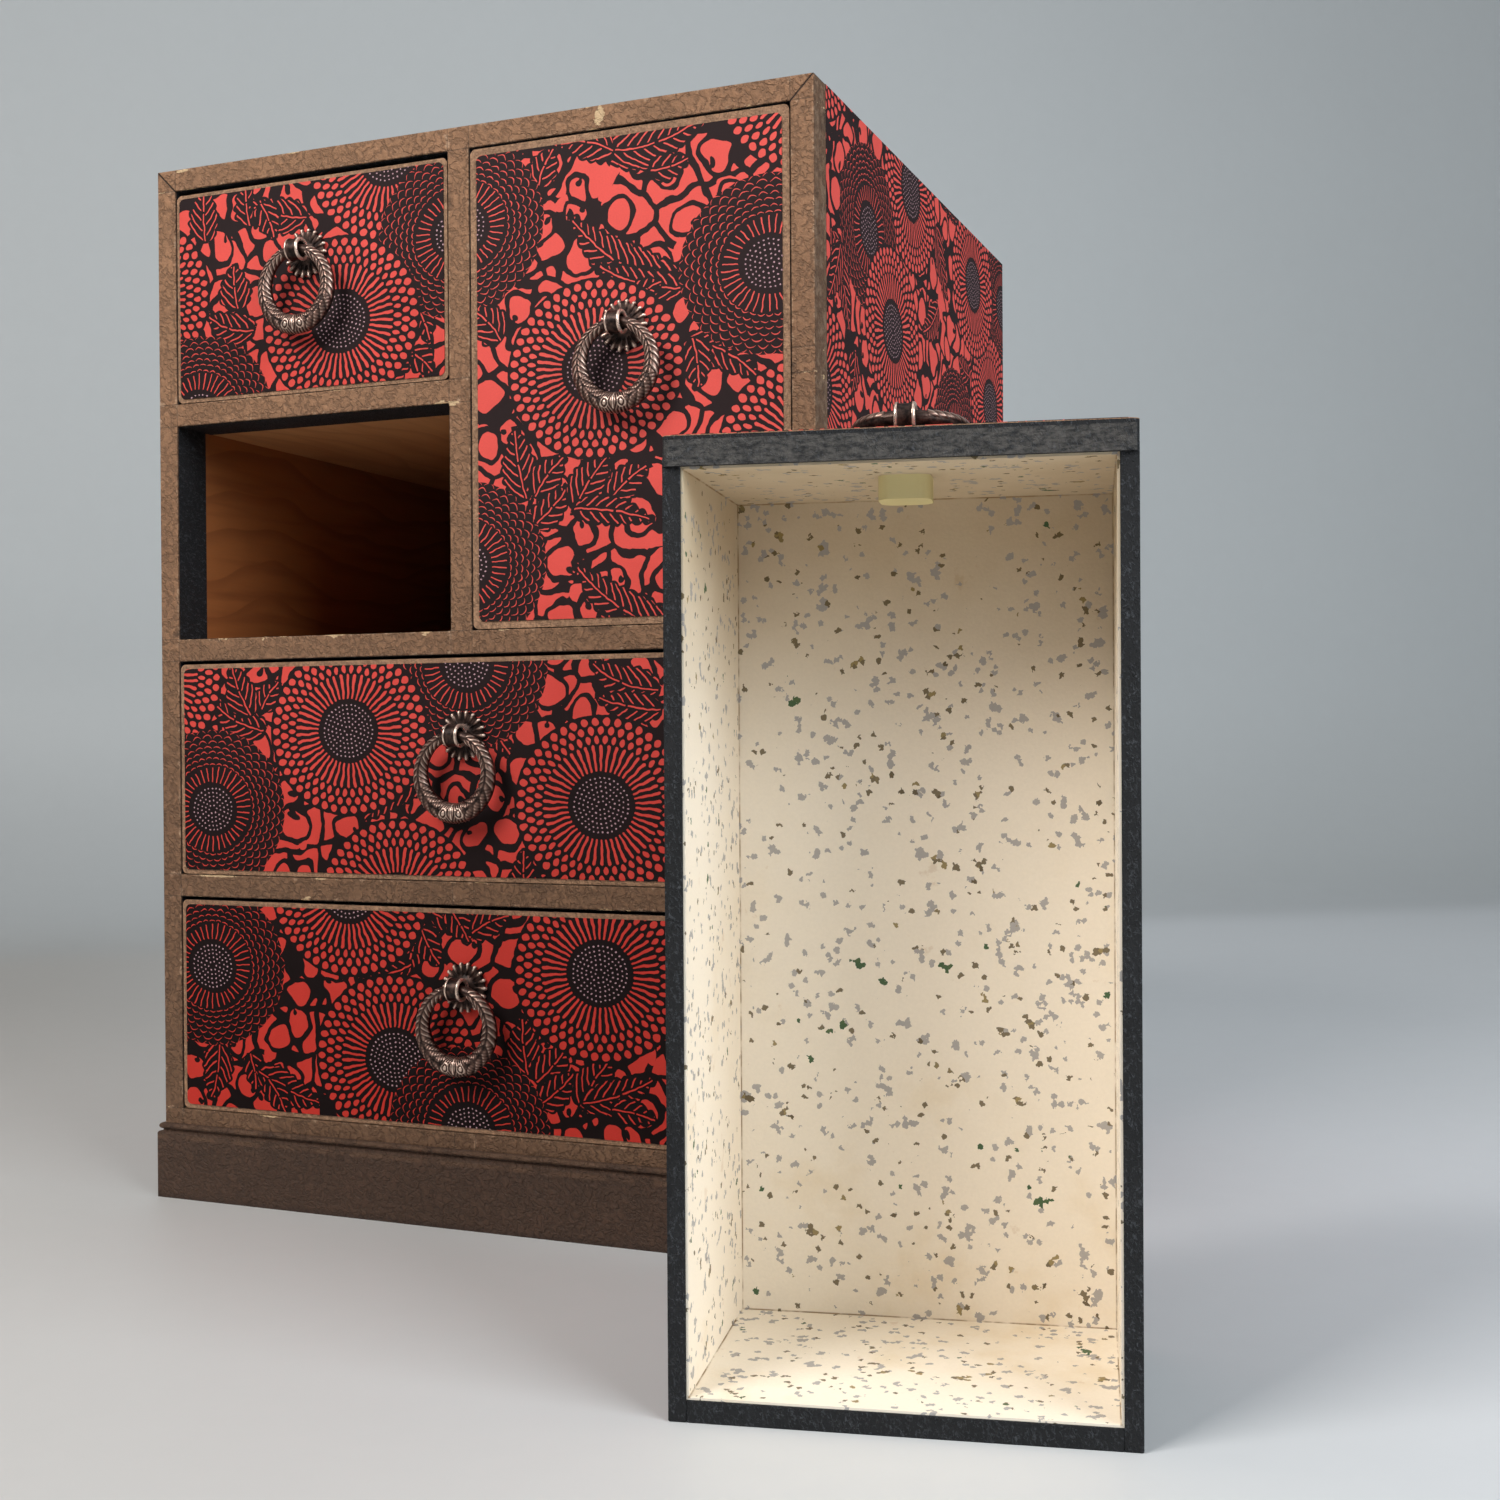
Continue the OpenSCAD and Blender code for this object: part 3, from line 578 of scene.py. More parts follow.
sheets = {
    "top_left": {
        # This sheet's painted sheen is lowered by 90 mm, so the top-left drawer stays darker
        "sheenShift": -90.0,
        "flowers": [("light", -109.5, 263.0), ("light", -23.0, 295.5), ("dark", -1.0, 271.0),
                    ("dark", -87.5, 227.8), ("light", -39.0, 250.8)],
        "leaves": [(-85.0, 278.0, -85.0, 294.5, 4.4, 0.6), (-69.5, 281.0, -71.0, 294.0, 3.4, 0.4),
                   (-50.0, 281.0, -69.0, 288.0, 4.4, 1.6), (-65.5, 286.5, -61.0, 276.0, 3.6, 0.6),
                   (-73.8, 257.5, -75.0, 270.5, 4.8, 0.5), (-68.4, 250.9, -84.5, 256.8, 4.4, 1.8),
                   (-14.5, 253.0, -10.0, 242.5, 3.0, 0.6), (-16.0, 240.0, -9.0, 234.0, 3.4, 0.6),
                   (-24.0, 232.5, -15.0, 240.5, 3.0, 0.6)],
    },
    "tall": {
        "flowers": [("dark", 0.5, 272.5), ("dark", 0.5, 180.7), ("light", 102.0, 299.6),
                    ("light", 101.0, 206.0), ("dark", 89.8, 253.5), ("light", 40.3, 231.0)],
        "leaves": [(65.3, 250.5, 33.0, 272.2, 5.6, 3.6), (66.0, 249.6, 41.0, 258.3, 3.8, 1.8),
                   (44.0, 287.8, 72.0, 293.0, 5.6, -2.4), (46.0, 287.5, 30.0, 291.0, 4.2, -1.6),
                   (57.0, 281.0, 68.0, 283.0, 3.0, -0.6), (66.6, 235.9, 87.0, 224.4, 4.4, 2.2),
                   (68.4, 236.4, 70.0, 223.0, 3.8, 0.6), (24.0, 281.0, 29.0, 290.5, 4.0, 0.8),
                   (12.0, 241.0, 3.0, 250.0, 4.4, -1.0), (52.0, 248.5, 60.0, 252.0, 2.6, 0.4),
                   (19.7, 198.0, 16.4, 217.2, 4.8, 0.8), (22.5, 198.4, 31.3, 208.5, 4.2, 0.8),
                   (22.0, 190.6, 32.2, 200.6, 3.8, -0.6), (34.4, 194.3, 44.4, 208.0, 4.8, 1.0),
                   (44.0, 195.6, 56.0, 205.0, 4.0, 0.8), (34.0, 194.4, 57.0, 190.2, 3.2, 1.0),
                   (66.0, 160.0, 33.6, 180.4, 5.4, 3.4), (62.0, 158.0, 41.0, 166.5, 3.8, 1.6)],
    },
    "upper_wide": {
        "flowers": [("light", -106.5, 152.0), ("dark", 0.8, 154.0), ("dark", -84.0, 113.8),
                    ("light", -21.5, 87.9), ("light", -37.4, 136.1), ("dark", 92.0, 132.0),
                    ("light", 41.4, 115.9)],
        "leaves": [(58.0, 146.2, 38.5, 153.8, 4.6, 2.0), (58.5, 141.0, 40.0, 144.6, 3.4, 0.8),
                   (-14.0, 122.0, -33.0, 110.8, 3.8, -1.6), (-14.0, 123.5, -20.0, 130.0, 2.4, 0.4),
                   (-66.0, 136.4, -84.0, 145.0, 4.4, 1.6), (-70.5, 141.0, -77.0, 155.5, 4.6, 0.8),
                   (-66.5, 142.5, -60.5, 150.5, 3.0, 0.6), (4.5, 138.6, 14.5, 128.8, 3.2, 0.8),
                   (18.4, 91.0, 18.2, 104.0, 3.4, 0.4), (70.0, 101.0, 88.0, 104.0, 4.2, 1.5)],
    },
    "lower_wide": {
        "flowers": [("dark", -84.6, 68.3), ("light", -37.6, 91.0), ("light", -22.8, 44.8),
                    ("dark", 0.5, 27.0), ("light", 95.0, 40.0), ("light", 40.6, 71.5)],
        "leaves": [(-82.3, 45.5, -85.6, 29.5, 4.6, 0.8), (-71.5, 43.5, -69.5, 33.0, 2.8, 0.4),
                   (-68.5, 38.9, -47.0, 31.0, 4.4, -1.2), (-65.2, 36.5, -59.5, 27.0, 3.6, 0.6),
                   (-14.8, 82.0, -20.8, 68.5, 3.8, 0.8), (-17.5, 71.5, -34.0, 66.6, 2.8, 0.8),
                   (-14.0, 81.5, -8.0, 71.5, 3.8, -0.6), (-10.5, 86.0, -1.0, 80.5, 3.0, 0.6),
                   (-5.0, 87.0, 1.0, 78.0, 3.8, 0.6), (2.0, 80.8, 14.0, 86.0, 3.4, 0.8),
                   (18.8, 43.5, 17.4, 59.0, 4.8, 0.6), (21.5, 41.5, 31.0, 52.0, 4.2, -0.6),
                   (22.5, 35.5, 33.0, 45.0, 3.8, -0.6), (34.6, 36.0, 44.6, 49.6, 4.6, 0.8),
                   (35.5, 36.8, 56.5, 44.8, 4.2, -1.2), (44.0, 35.8, 57.0, 33.5, 2.8, 0.6),
                   (74.0, 78.0, 88.0, 86.0, 4.4, 1.4)],
    },
    "taken_out": {
        # The stood drawer takes the painted sheen of its place in the bay
        "sheenShift": place["stoodBay"],
        "flowers": [("light", -30.0, 12.0), ("dark", 38.0, 8.0), ("light", 16.0, 46.0),
                    ("dark", -46.0, 58.0)],
        "leaves": [(-4.0, 20.0, -14.0, 38.0, 4.6, 1.5), (0.0, 18.0, 16.0, 8.0, 4.4, -1.5)],
    },
    "sides": {
        "period": (2000.0, 91.8),
        "flowers": [("dark", 133.0, 228.0), ("dark", 196.0, 284.0), ("light", 84.5, 294.0),
                    ("dark", 44.5, 272.0), ("light", 178.6, 247.0), ("light", 156.0, 283.0),
                    ("light", 3.0, 222.0), ("light", 66.0, 249.0)],
        "leaves": [(14.0, 264.0, 27.0, 240.0, 5.2, 1.6), (20.0, 262.0, 10.0, 246.0, 4.2, 1.0),
                   (113.0, 266.0, 96.0, 255.0, 4.8, 1.6), (112.0, 291.0, 124.0, 271.0, 4.8, -1.5),
                   (108.0, 224.0, 98.0, 212.0, 4.4, 1.2), (150.0, 252.0, 137.0, 256.0, 3.8, 1.2),
                   (32.0, 236.0, 28.0, 224.0, 3.4, 0.8)],
    },
    "top": {
        "period": (2000.0, 91.8),
        "flowers": [("dark", 31.0, 22.0), ("dark", 94.0, 78.0), ("light", -17.5, 88.0),
                    ("dark", -57.5, 66.0), ("light", 76.6, 41.0), ("light", 54.0, 77.0),
                    ("light", -99.0, 16.0), ("light", -36.0, 43.0)],
        "leaves": [(-88.0, 58.0, -75.0, 34.0, 5.2, 1.6), (11.0, 60.0, -6.0, 49.0, 4.8, 1.6),
                   (10.0, 85.0, 22.0, 65.0, 4.8, -1.5), (6.0, 18.0, -4.0, 6.0, 4.4, 1.2)],
    },
}


def printLook(g, point, up, red, dot):
    look = g.use(inkGroup, {**here(*point), "Height Up": up, "Red": red, "Dot": dot})
    return finish(printValues, look["Colour"], look["Roughness"], look["Height"])


def facePaper(drawer):
    def body(g):
        x, y, z = localPoint(g, drawer == "taken_out")
        red, dot = printedSheet(g, x, z, sheets[drawer])
        # The height for the painted sheen, shifted per sheet
        return printLook(g, (x, z), z + sheets[drawer].get("sheenShift", 0.0), red, dot)

    return makeMaterial("printed_face_" + drawer, body)


def coverPaper(g):
    point, normal = objectPoint(g)
    x, y, z = millimetres(g, point)
    flat = g.split(normal)[2] > 0.5
    side = printedSheet(g, y, z, sheets["sides"])
    top = printedSheet(g, x, y, sheets["top"])
    red, dot = [g.blend(flat, a, b) for a, b in zip(side, top)]
    # The covers' painted sheen follows their height
    return printLook(g, (x, y, z), z, red, dot)


# Brown crumpled paper on the frame and the plinth

brownValues = {
    # upper and lower are one brown, lit and shaded: blended by height they paint the light falling off
    # downwards
    "upper": rgb("9A7356"),
    "lower": rgb("7C5D46"),
    "plinth": rgb("523B2D"),
    # crease darkens the crumple valleys, which is painted shade; it also colours the dark specks, the corner
    # seams and a thin line along the edges
    "crease": rgb("3A2A20"),
    "rubbed": rgb("CBA88A"),
    "chip": rgb("D8B890"),
    "smudge": rgb("2B211B"),
    "marks": ((42.1, 297.4, 1.5, 2.4), (-82.0, 94.4, 6.0, 0.3), (-47.0, 94.5, 2.0, 0.3),
              (-93.0, 299.4, 2.5, 0.4)),
    # Heights of that painted falloff
    "paintedLightFrom": 20.0,
    "paintedLightTo": 290.0,
    "ragged": (0.35, 4.0, 0.7), "wearFrom": 0.45, "chips": (0.11, 4.0, 0.65), "chipFrom": 0.6,
    "smudges": (0.13, 4.0, 0.65), "smudgeEase": (0.56, 0.72), "smudgeEdge": (0.3, 2.6),
    "seamEase": (0.1, 0.45), "creaseWidth": 0.16,
    "gloss": 0.35,
    "bump": (1.0, 0.0006),
}
plinthValues = {
    "mouldings": (20.9, 17.9), "ridgeEase": (0.2, 1.1), "rubs": (0.12, 3.0), "rubEase": (0.35, 0.6),
    "floorShadeHeight": 2.0, "gloss": 0.4, "bump": brownValues["bump"],
}
crumpleValues = {
    "warp": (0.5, 2.0, 0.6), "warpBy": (2.6, 2.0), "fine": (0.85, 4.0, 0.72), "ridges": (0.4, 2.0, 0.55),
    "ridgeEase": (0.0, 0.17), "patches": (0.075, 3.0, 0.6), "specks": (1.9, 2.0, 0.6),
    "speckEase": (0.63, 0.71),
}


def crumpledPaper(g, i):
    v = crumpleValues
    point = g.vector(i["X"], i["Y"], i["Z"])
    warp = g.noise(point, *v["warp"])
    wide, deep = v["warpBy"]
    bent = g.vector(i["X"] + warp * wide, i["Y"] - warp * deep, i["Z"] - warp * wide)
    fine = g.noise(bent, *v["fine"])
    ridge = abs(g.noise(bent, *v["ridges"]) - 0.5) * 2.0
    wrinkle = 1.0 - g.ease(*v["ridgeEase"], ridge)
    patch = g.noise(point, *v["patches"])
    speck = g.ease(*v["speckEase"], g.noise(point, *v["specks"]))
    tone = g.shade(i["Colour"], fine * 1.35 + patch * 0.7 - 0.04)
    # Painted shade in the wrinkle valleys; the specks are dark flecks in the paper
    tone = g.colour(wrinkle * patch * 0.62 + speck * 0.28, tone, i["Crease Colour"])
    height = fine * 1.1 - wrinkle * 0.45 + patch * 0.5
    return {"Colour": tone, "Height": height, "Roughness": fine * 0.24 + 0.6}


crumpledGroup = makeGroup(
    "crumpled paper",
    {**here(), "Colour": brownValues["upper"], "Crease Colour": brownValues["crease"]},
    surface,
    crumpledPaper,
)


def nearestEdge(g, value, edges):
    distance = abs(value - edges[0])
    for edge in edges[1:]:
        distance = g.least(abs(value - edge), distance)
    return distance


def edgingPaper(g):
    v = brownValues
    x, y, z = millimetres(g, objectPoint(g)[0])
    # Painted shade: the brown darkens from the upper to the lower colour towards the bottom
    base = g.colour(g.ease(v["paintedLightFrom"], v["paintedLightTo"], z), v["lower"], v["upper"])
    look = g.use(crumpledGroup, here(x, y, z, Colour=base))
    nearRail = nearestEdge(g, z, place["railEdges"])
    nearStile = g.least(nearestEdge(g, x, place["stileEdges"]), abs(abs(x) - place["halfWidth"]))
    near = g.least(nearRail, nearStile)
    ragged = g.noise(g.vector(x, y, z), *v["ragged"])
    wear = g.ease(0.0, 1.0, (ragged - v["wearFrom"]) * 6.0 - near * 0.9)
    chips = g.noise(g.vector(x * 0.6, y, z * 1.6), *v["chips"])
    chip = ((chips - v["chipFrom"]) * 14.0 - nearRail * 0.9 - g.least(near, 0.4)) > 0.0
    for markX, markZ, halfX, halfZ in v["marks"]:
        inMark = g.reach((x - markX) / halfX, (z - markZ) / halfZ) + (ragged - 0.5) * 2.4
        chip = g.most(chip, inMark < 1.0)
    smudge = g.ease(*v["smudgeEase"], g.noise(g.vector(x * 0.5, y, z), *v["smudges"]))
    smudge = smudge * (1.0 - g.ease(*v["smudgeEdge"], near))
    seam = abs((place["height"] - z) - (place["halfWidth"] - abs(x)))
    inCorner = (z > place["railEdges"][-2] - 1.0) * (abs(x) > place["stileEdges"][-1] - 1.0)
    joint = (1.0 - g.ease(*v["seamEase"], seam)) * inCorner
    tone = g.colour(wear * 0.62, look["Colour"], v["rubbed"])
    tone = g.colour(smudge * 0.7, tone, v["smudge"])
    tone = g.colour(g.most(joint, (near < v["creaseWidth"]) * 0.5), tone, v["crease"])
    tone = g.colour(chip, tone, v["chip"])
    return finish(v, tone, look["Roughness"], look["Height"] - joint - chip * 1.4)


def plinthPaper(g):
    v = plinthValues
    x, y, z = millimetres(g, objectPoint(g)[0])
    look = g.use(crumpledGroup, here(x, y, z, Colour=brownValues["plinth"]))
    onRidge = 1.0 - g.ease(*v["ridgeEase"], nearestEdge(g, z, v["mouldings"]))
    rub = onRidge * g.ease(*v["rubEase"], g.noise(g.vector(x, y, z), *v["rubs"]))
    # Painted shade: the plinth darkens in its lowest 2 mm, where it meets the floor
    foot = 1.0 - g.ease(0.0, v["floorShadeHeight"], z)
    tone = g.colour(rub * 0.45, look["Colour"], brownValues["lower"])
    tone = g.shade(tone, 1.0 - foot * 0.35)
    return finish(v, tone, look["Roughness"] - 0.06, look["Height"])


# Black paper on the drawers and inside the mouths of the bays

blackValues = {
    "paper": rgb("131417"), "faded": rgb("25262A"), "scuff": rgb("66645F"), "border": rgb("B88F70"),
    # ridge is a painted highlight, a bluish grey on the raised fibre ridges
    "ridge": rgb("6E7279"), "worn": rgb("6A6662"),
    "bend": (0.7, 2.0, 0.6), "bendBy": 2.2, "fibres": (1.5, 5.0, 0.75), "ridges": (0.8, 2.0, 0.55),
    "ridgeEase": (0.0, 0.13), "ridgeOn": (0.42, 0.66), "clouds": (0.06, 3.0), "cloudEase": (0.4, 0.75),
    "scuffs": (0.9, 5.0, 0.75), "scuffEase": (0.66, 0.73), "topFibres": (1.2, 4.0, 0.7),
    "topEase": (0.3, 0.7), "borderDepth": 0.45, "frontTop": 1.2, "gloss": 0.35, "bump": (1.0, 0.0005),
}


def blackPaper(g, i):
    v = blackValues
    point = g.vector(i["X"], i["Y"], i["Z"])
    bend = g.noise(point, *v["bend"]) * v["bendBy"]
    bent = g.vector(i["X"] + bend, i["Y"] * 0.5 - bend, i["Z"] + bend)
    fibre = g.noise(bent, *v["fibres"])
    ridge = 1.0 - g.ease(*v["ridgeEase"], abs(g.noise(bent, *v["ridges"]) - 0.5) * 2.0)
    cloud = g.noise(point, *v["clouds"])
    tone = g.colour(g.ease(*v["cloudEase"], cloud) * 0.5, i["Paper"], i["Faded"])
    tone = g.shade(tone, fibre * 1.9)
    # Painted highlight: the raised ridges turn bluish grey
    tone = g.colour(ridge * g.ease(*v["ridgeOn"], fibre) * 0.45, tone, i["Ridge"])
    scuff = g.ease(*v["scuffEase"], g.noise(point, *v["scuffs"]))
    tone = g.colour(scuff * 0.5, tone, i["Scuff"])
    height = fibre * 0.9 + ridge * 0.5 + cloud * 0.4
    return {"Colour": tone, "Height": height, "Roughness": fibre * 0.2 + 0.55}


blackGroup = makeGroup(
    "black paper",
    here(Paper=blackValues["paper"], Faded=blackValues["faded"], Scuff=blackValues["scuff"],
         Ridge=blackValues["ridge"]),
    surface,
    blackPaper,
)


def boardPaper(stood, isFront):
    def upward(g):
        nx, ny, nz = g.split(objectPoint(g)[1])
        if stood:
            nz = nx * math.sin(place["stoodTurn"]) - ny * math.cos(place["stoodTurn"])
        return nz > 0.7

    def body(g):
        v = blackValues
        x, y, z = localPoint(g, stood)
        look = g.use(blackGroup, here(x, y, z))
        tone = look["Colour"]
        if isFront:
            border = g.use(crumpledGroup, here(x, y, z, Colour=v["border"]))
            tone = g.colour(y < v["borderDepth"], tone, border["Colour"])
            fibres = g.noise(g.vector(x * 0.4, y, z), *v["topFibres"])
            onTop = upward(g) * (y > v["frontTop"])
            tone = g.colour(onTop * g.ease(*v["topEase"], fibres) * 0.75, tone, v["worn"])
        return finish(v, tone, look["Roughness"], look["Height"])

    return makeMaterial("black_board" + ("_stood" if stood else "") + ("_front" if isFront else ""), body)


# Flecked lining paper

liningValues = {
    "cream": rgb("FBF0DF"), "warm": rgb("E2C796"), "stain": rgb("B98A4E"), "grey": rgb("9C999B"),
    "olive": rgb("5C4A20"), "gold": rgb("8C7636"), "green": rgb("37603C"), "pad": rgb("D9CD98"),
    # The first colour on the next line is painted shade under the front board, the second painted shade in
    # the tray's inner corners
    "frontBoardShade": rgb("A0803C"), "trayCornerShade": rgb("9A7A4E"), "foldAt": (41.35, 6.8, 187.7, 4.5), "cornerShadeHalf": 0.4,
    "cornerShadePatches": (0.2, 3.0, 0.6), "cornerShadeEase": (0.3, 0.6), "padHalf": 5.6, "padFrom": 6.95, "padTo": 12.0,
    "stains": (0.035, 4.0, 0.6), "stainEase": (0.5, 0.8), "stainDepth": (40.0, 190.0),
    "blots": (0.11, 5.0, 0.65), "blotEase": (0.66, 0.72), "mottle": (0.05, 3.0, 0.6), "frontBoardShadeDepth": (8.0, 78.0),
    "ragged": (1.5, 1.0), "greys": (0.37, 1.0, 0.7), "greyFrom": 0.65, "browns": (0.27, 1.0, 0.6),
    "brownFrom": 0.715, "greens": (0.05, 0.0), "greenFrom": 0.62, "tinyFrom": 0.987,
    "goldEase": (0.55, 0.75), "grain": (1.4, 3.0, 0.6), "roughness": 0.72, "bump": (0.4, 0.00015),
}


def flecks(g, i):
    v = liningValues
    ragged = [g.noise(g.vector(i["Y"] + k, i["Z"], i["X"]), *v["ragged"]) - 0.5 for k in (0.0, 31.0, 67.0)]
    cell = g.cells(g.vector(*[i[axis] + w for axis, w in zip("XYZ", ragged)]), 1.0, dimensions="3D")
    px, py, pz = g.split(cell["Position"])
    pick, kind, _ = g.split(cell["Color"])
    grey = g.noise(g.vector(px, py, pz), *v["greys"]) > v["greyFrom"]
    brown = g.noise(g.vector(px + 40.0, py, pz), *v["browns"]) > v["brownFrom"]
    green = brown * (g.noise(g.vector(px + 90.0, py, pz), *v["greens"]) > v["greenFrom"])
    return {"Grey": grey, "Brown": brown, "Green": green, "Tiny": pick > v["tinyFrom"], "Kind": kind}


fleckGroup = makeGroup(
    "paper flecks", here(), masks("Grey", "Brown", "Green", "Tiny", "Kind"), flecks
)


def liningPaper(drawer):
    stood = drawer == "taken_out"
    padX, padZ = pullPlaces[drawer]

    def body(g):
        v = liningValues
        x, y, z = localPoint(g, stood)
        spots = g.use(fleckGroup, here(x, y, z))
        point = g.vector(x, y, z)
        stain = g.ease(*v["stainEase"], g.noise(point, *v["stains"])) * g.ease(*v["stainDepth"], y)
        tone = g.colour(stain * 0.5, v["cream"], v["warm"])
        blot = g.ease(*v["blotEase"], g.noise(point, *v["blots"]))
        tone = g.colour(blot * 0.2, tone, v["stain"])
        mottle = g.noise(point, *v["mottle"]) * 0.5 + 0.75
        # Painted shade: the lining turns warm brown near the front board, where its shadow falls, patchy by
        # the mottle noise
        tone = g.colour((1.0 - g.ease(*v["frontBoardShadeDepth"], y)) * mottle * 0.55, tone, v["frontBoardShade"])
        if stood:
            halfX, frontY, backY, floorZ = v["foldAt"]
            fromX, fromZ = abs(abs(x) - halfX), abs(z - floorZ)
            fromY = g.least(abs(y - frontY), abs(y - backY))
            second = g.most(g.least(fromX, fromY), g.least(g.most(fromX, fromY), fromZ))
            # Painted shade along the tray's inner corners, broken into patches by noise
            worn = g.ease(*v["cornerShadeEase"], g.noise(point, *v["cornerShadePatches"]))
            tone = g.colour((1.0 - g.ease(0.0, v["cornerShadeHalf"], second)) * worn, tone, v["trayCornerShade"])
        tone = g.colour(spots["Grey"] * 0.8, tone, v["grey"])
        golden = g.ease(*v["goldEase"], spots["Kind"]) * spots["Brown"]
        olive = g.colour(golden, v["olive"], v["gold"])
        tone = g.colour(g.most(spots["Brown"], spots["Tiny"]) * 0.88, tone, olive)
        tone = g.colour(spots["Green"] * 0.85, tone, v["green"])
        grain = g.noise(point, *v["grain"])
        tone = g.shade(tone, grain * 0.1 + 0.95)
        onPad = (y > v["padFrom"]) * (y < v["padTo"])
        onPad = onPad * (abs(x - padX) < v["padHalf"]) * (abs(z - padZ) < v["padHalf"])
        tone = g.colour(onPad, tone, v["pad"])
        return {"Base Color": tone, "Roughness": v["roughness"], "Bump": (grain, *v["bump"])}

    return makeMaterial("lining_" + drawer, body)


# Bare wood inside the bays

woodValues = {
    "red": (rgb("96592C"), rgb("6A3617")),
    "tan": (rgb("BC8A5A"), rgb("9A6A40")),
    "plain": (rgb("9A7048"), rgb("6E4A2C")),
}
grainValues = {
    "stretch": (0.9, 0.07), "swayStretch": (0.02, 0.015), "sway": (1.0, 2.0), "swayBy": 3.2,
    "ringsPerMm": 0.09, "ringEase": (0.55, 0.95), "ringEnd": (0.95, 1.0), "pores": (1.1, 4.0, 0.7),
    "streaks": (0.22, 3.0), "streakEase": (0.45, 0.75), "bump": (0.4, 0.0001),
}


def woodGrain(g, i):
    v = grainValues
    along, bowed = [g.vector(i["X"] * side, i["Y"] * length, i["Z"] * side)
                    for side, length in (v["stretch"], v["swayStretch"])]
    sway = g.noise(bowed, *v["sway"])
    rings = g.fract((i["Z"] + i["X"] * 0.6) * v["ringsPerMm"] + sway * v["swayBy"])
    ring = g.ease(*v["ringEase"], rings) * (1.0 - g.ease(*v["ringEnd"], rings))
    pores = g.noise(along, *v["pores"])
    streak = g.ease(*v["streakEase"], g.noise(along, *v["streaks"]))
    tone = g.colour(g.most(ring * 0.45, streak * 0.5), i["Light"], i["Dark"])
    return {"Colour": g.shade(tone, pores * 0.3 + 0.85), "Height": pores - ring * 0.5,
            "Roughness": pores * 0.2 + 0.5}


woodGroup = makeGroup(
    "wood grain",
    here(Light=woodValues["plain"][0], Dark=woodValues["plain"][1]),
    surface,
    woodGrain,
)


def woodMaterial(kind):
    def body(g):
        x, y, z = localPoint(g, False)
        if kind == "plain":  # these boards' grain runs from side to side
            x, y, z = z, x, y
        light, dark = woodValues[kind]
        look = g.use(woodGroup, here(x, y, z, Light=light, Dark=dark))
        return {"Base Color": look["Colour"], "Roughness": look["Roughness"],
                "Bump": (look["Height"], *grainValues["bump"])}

    return makeMaterial("wood_" + kind, body)


# Cast, darkened brass of the pulls

brassValues = {
    # The third colour is a painted highlight on the highest relief; dark is the patina in the hollows
    "dark": rgb("1C1412"), "brown": rgb("8E6E62"), "crestHighlight": rgb("F6DCCA"),
    "petals": 18, "boss": 3.5, "beads": 6.0, "bandFrom": 1.3, "bandTo": 1.65,
    "tarnish": (0.6, 4.0, 0.65), "tarnishEase": (0.35, 0.7), "raisedEase": (0.15, 0.7),
    "highlightEase": (0.66, 1.0), "pits": (2.5, 3.0, 0.7), "metallic": 0.75, "bump": (0.25, 0.00008),
}


def oldBrass(g, i):
    v = brassValues
    point = g.vector(i["X"], i["Y"], i["Z"])
    tarnish = g.noise(point, *v["tarnish"])
    browned = g.ease(*v["tarnishEase"], tarnish) * 0.3 + g.ease(*v["raisedEase"], i["Raised"]) * 0.7
    tone = g.colour(browned, i["Dark"], i["Brown"])
    # Painted highlight: the highest relief turns near white
    tone = g.colour(g.ease(*v["highlightEase"], i["Raised"]) * 0.85, tone, i["Bright"])
    return {"Colour": tone, "Roughness": 0.38 - i["Raised"] * 0.16 + tarnish * 0.12,
            "Height": g.noise(point, *v["pits"])}


brassGroup = makeGroup(
    "old brass",
    here(Raised=0.0, Dark=brassValues["dark"], Brown=brassValues["brown"], Bright=brassValues["crestHighlight"]),
    surface,
    oldBrass,
)


def rosetteRelief(g, x, z):
    r = g.reach(x, z)
    turn = g.math("ARCTAN2", z, x) * brassValues["petals"]
    ridge = g.math("COSINE", turn) * 0.5 + 0.5
    petal = g.ease(brassValues["boss"], brassValues["beads"], r) * ridge
    return petal * (petal * 0.4 + 0.6)


def eyeRelief(g, x, z):
    return g.ease(brassValues["bandFrom"], brassValues["bandTo"], abs(x))


def ringRelief(g, x, z):
    return Wire(g, g.node("ShaderNodeAttribute", attribute_name="relief").outputs["Fac"])


def brassMaterial(name, relief, drawer="top_left"):
    pullX, pullZ = pullPlaces[drawer]

    def body(g):
        x, y, z = localPoint(g, drawer == "taken_out")
        raised = relief(g, x - pullX, z - pullZ)
        look = g.use(brassGroup, here(x, y, z, Raised=raised))
        return {"Base Color": look["Colour"], "Roughness": look["Roughness"],
                "Metallic": brassValues["metallic"], "Bump": (look["Height"], *brassValues["bump"])}

    return makeMaterial(name, body)


def paint(nodeName, material):
    obj = nodes[nodeName]
    for slot in obj.material_slots:
        slot.link = "OBJECT"
        slot.material = material
    return obj


softValues = {"weld": 0.00001, "segments": 2, "angle": math.radians(50), "edging": 0.00035, "board": 0.0003}


def soften(obj, width):
    weld = obj.modifiers.new("weld", "WELD")
    weld.merge_threshold = softValues["weld"]
    bevel = obj.modifiers.new("bevel", "BEVEL")
    bevel.width = width
    bevel.segments = softValues["segments"]
    bevel.limit_method = "ANGLE"
    bevel.angle_limit = softValues["angle"]


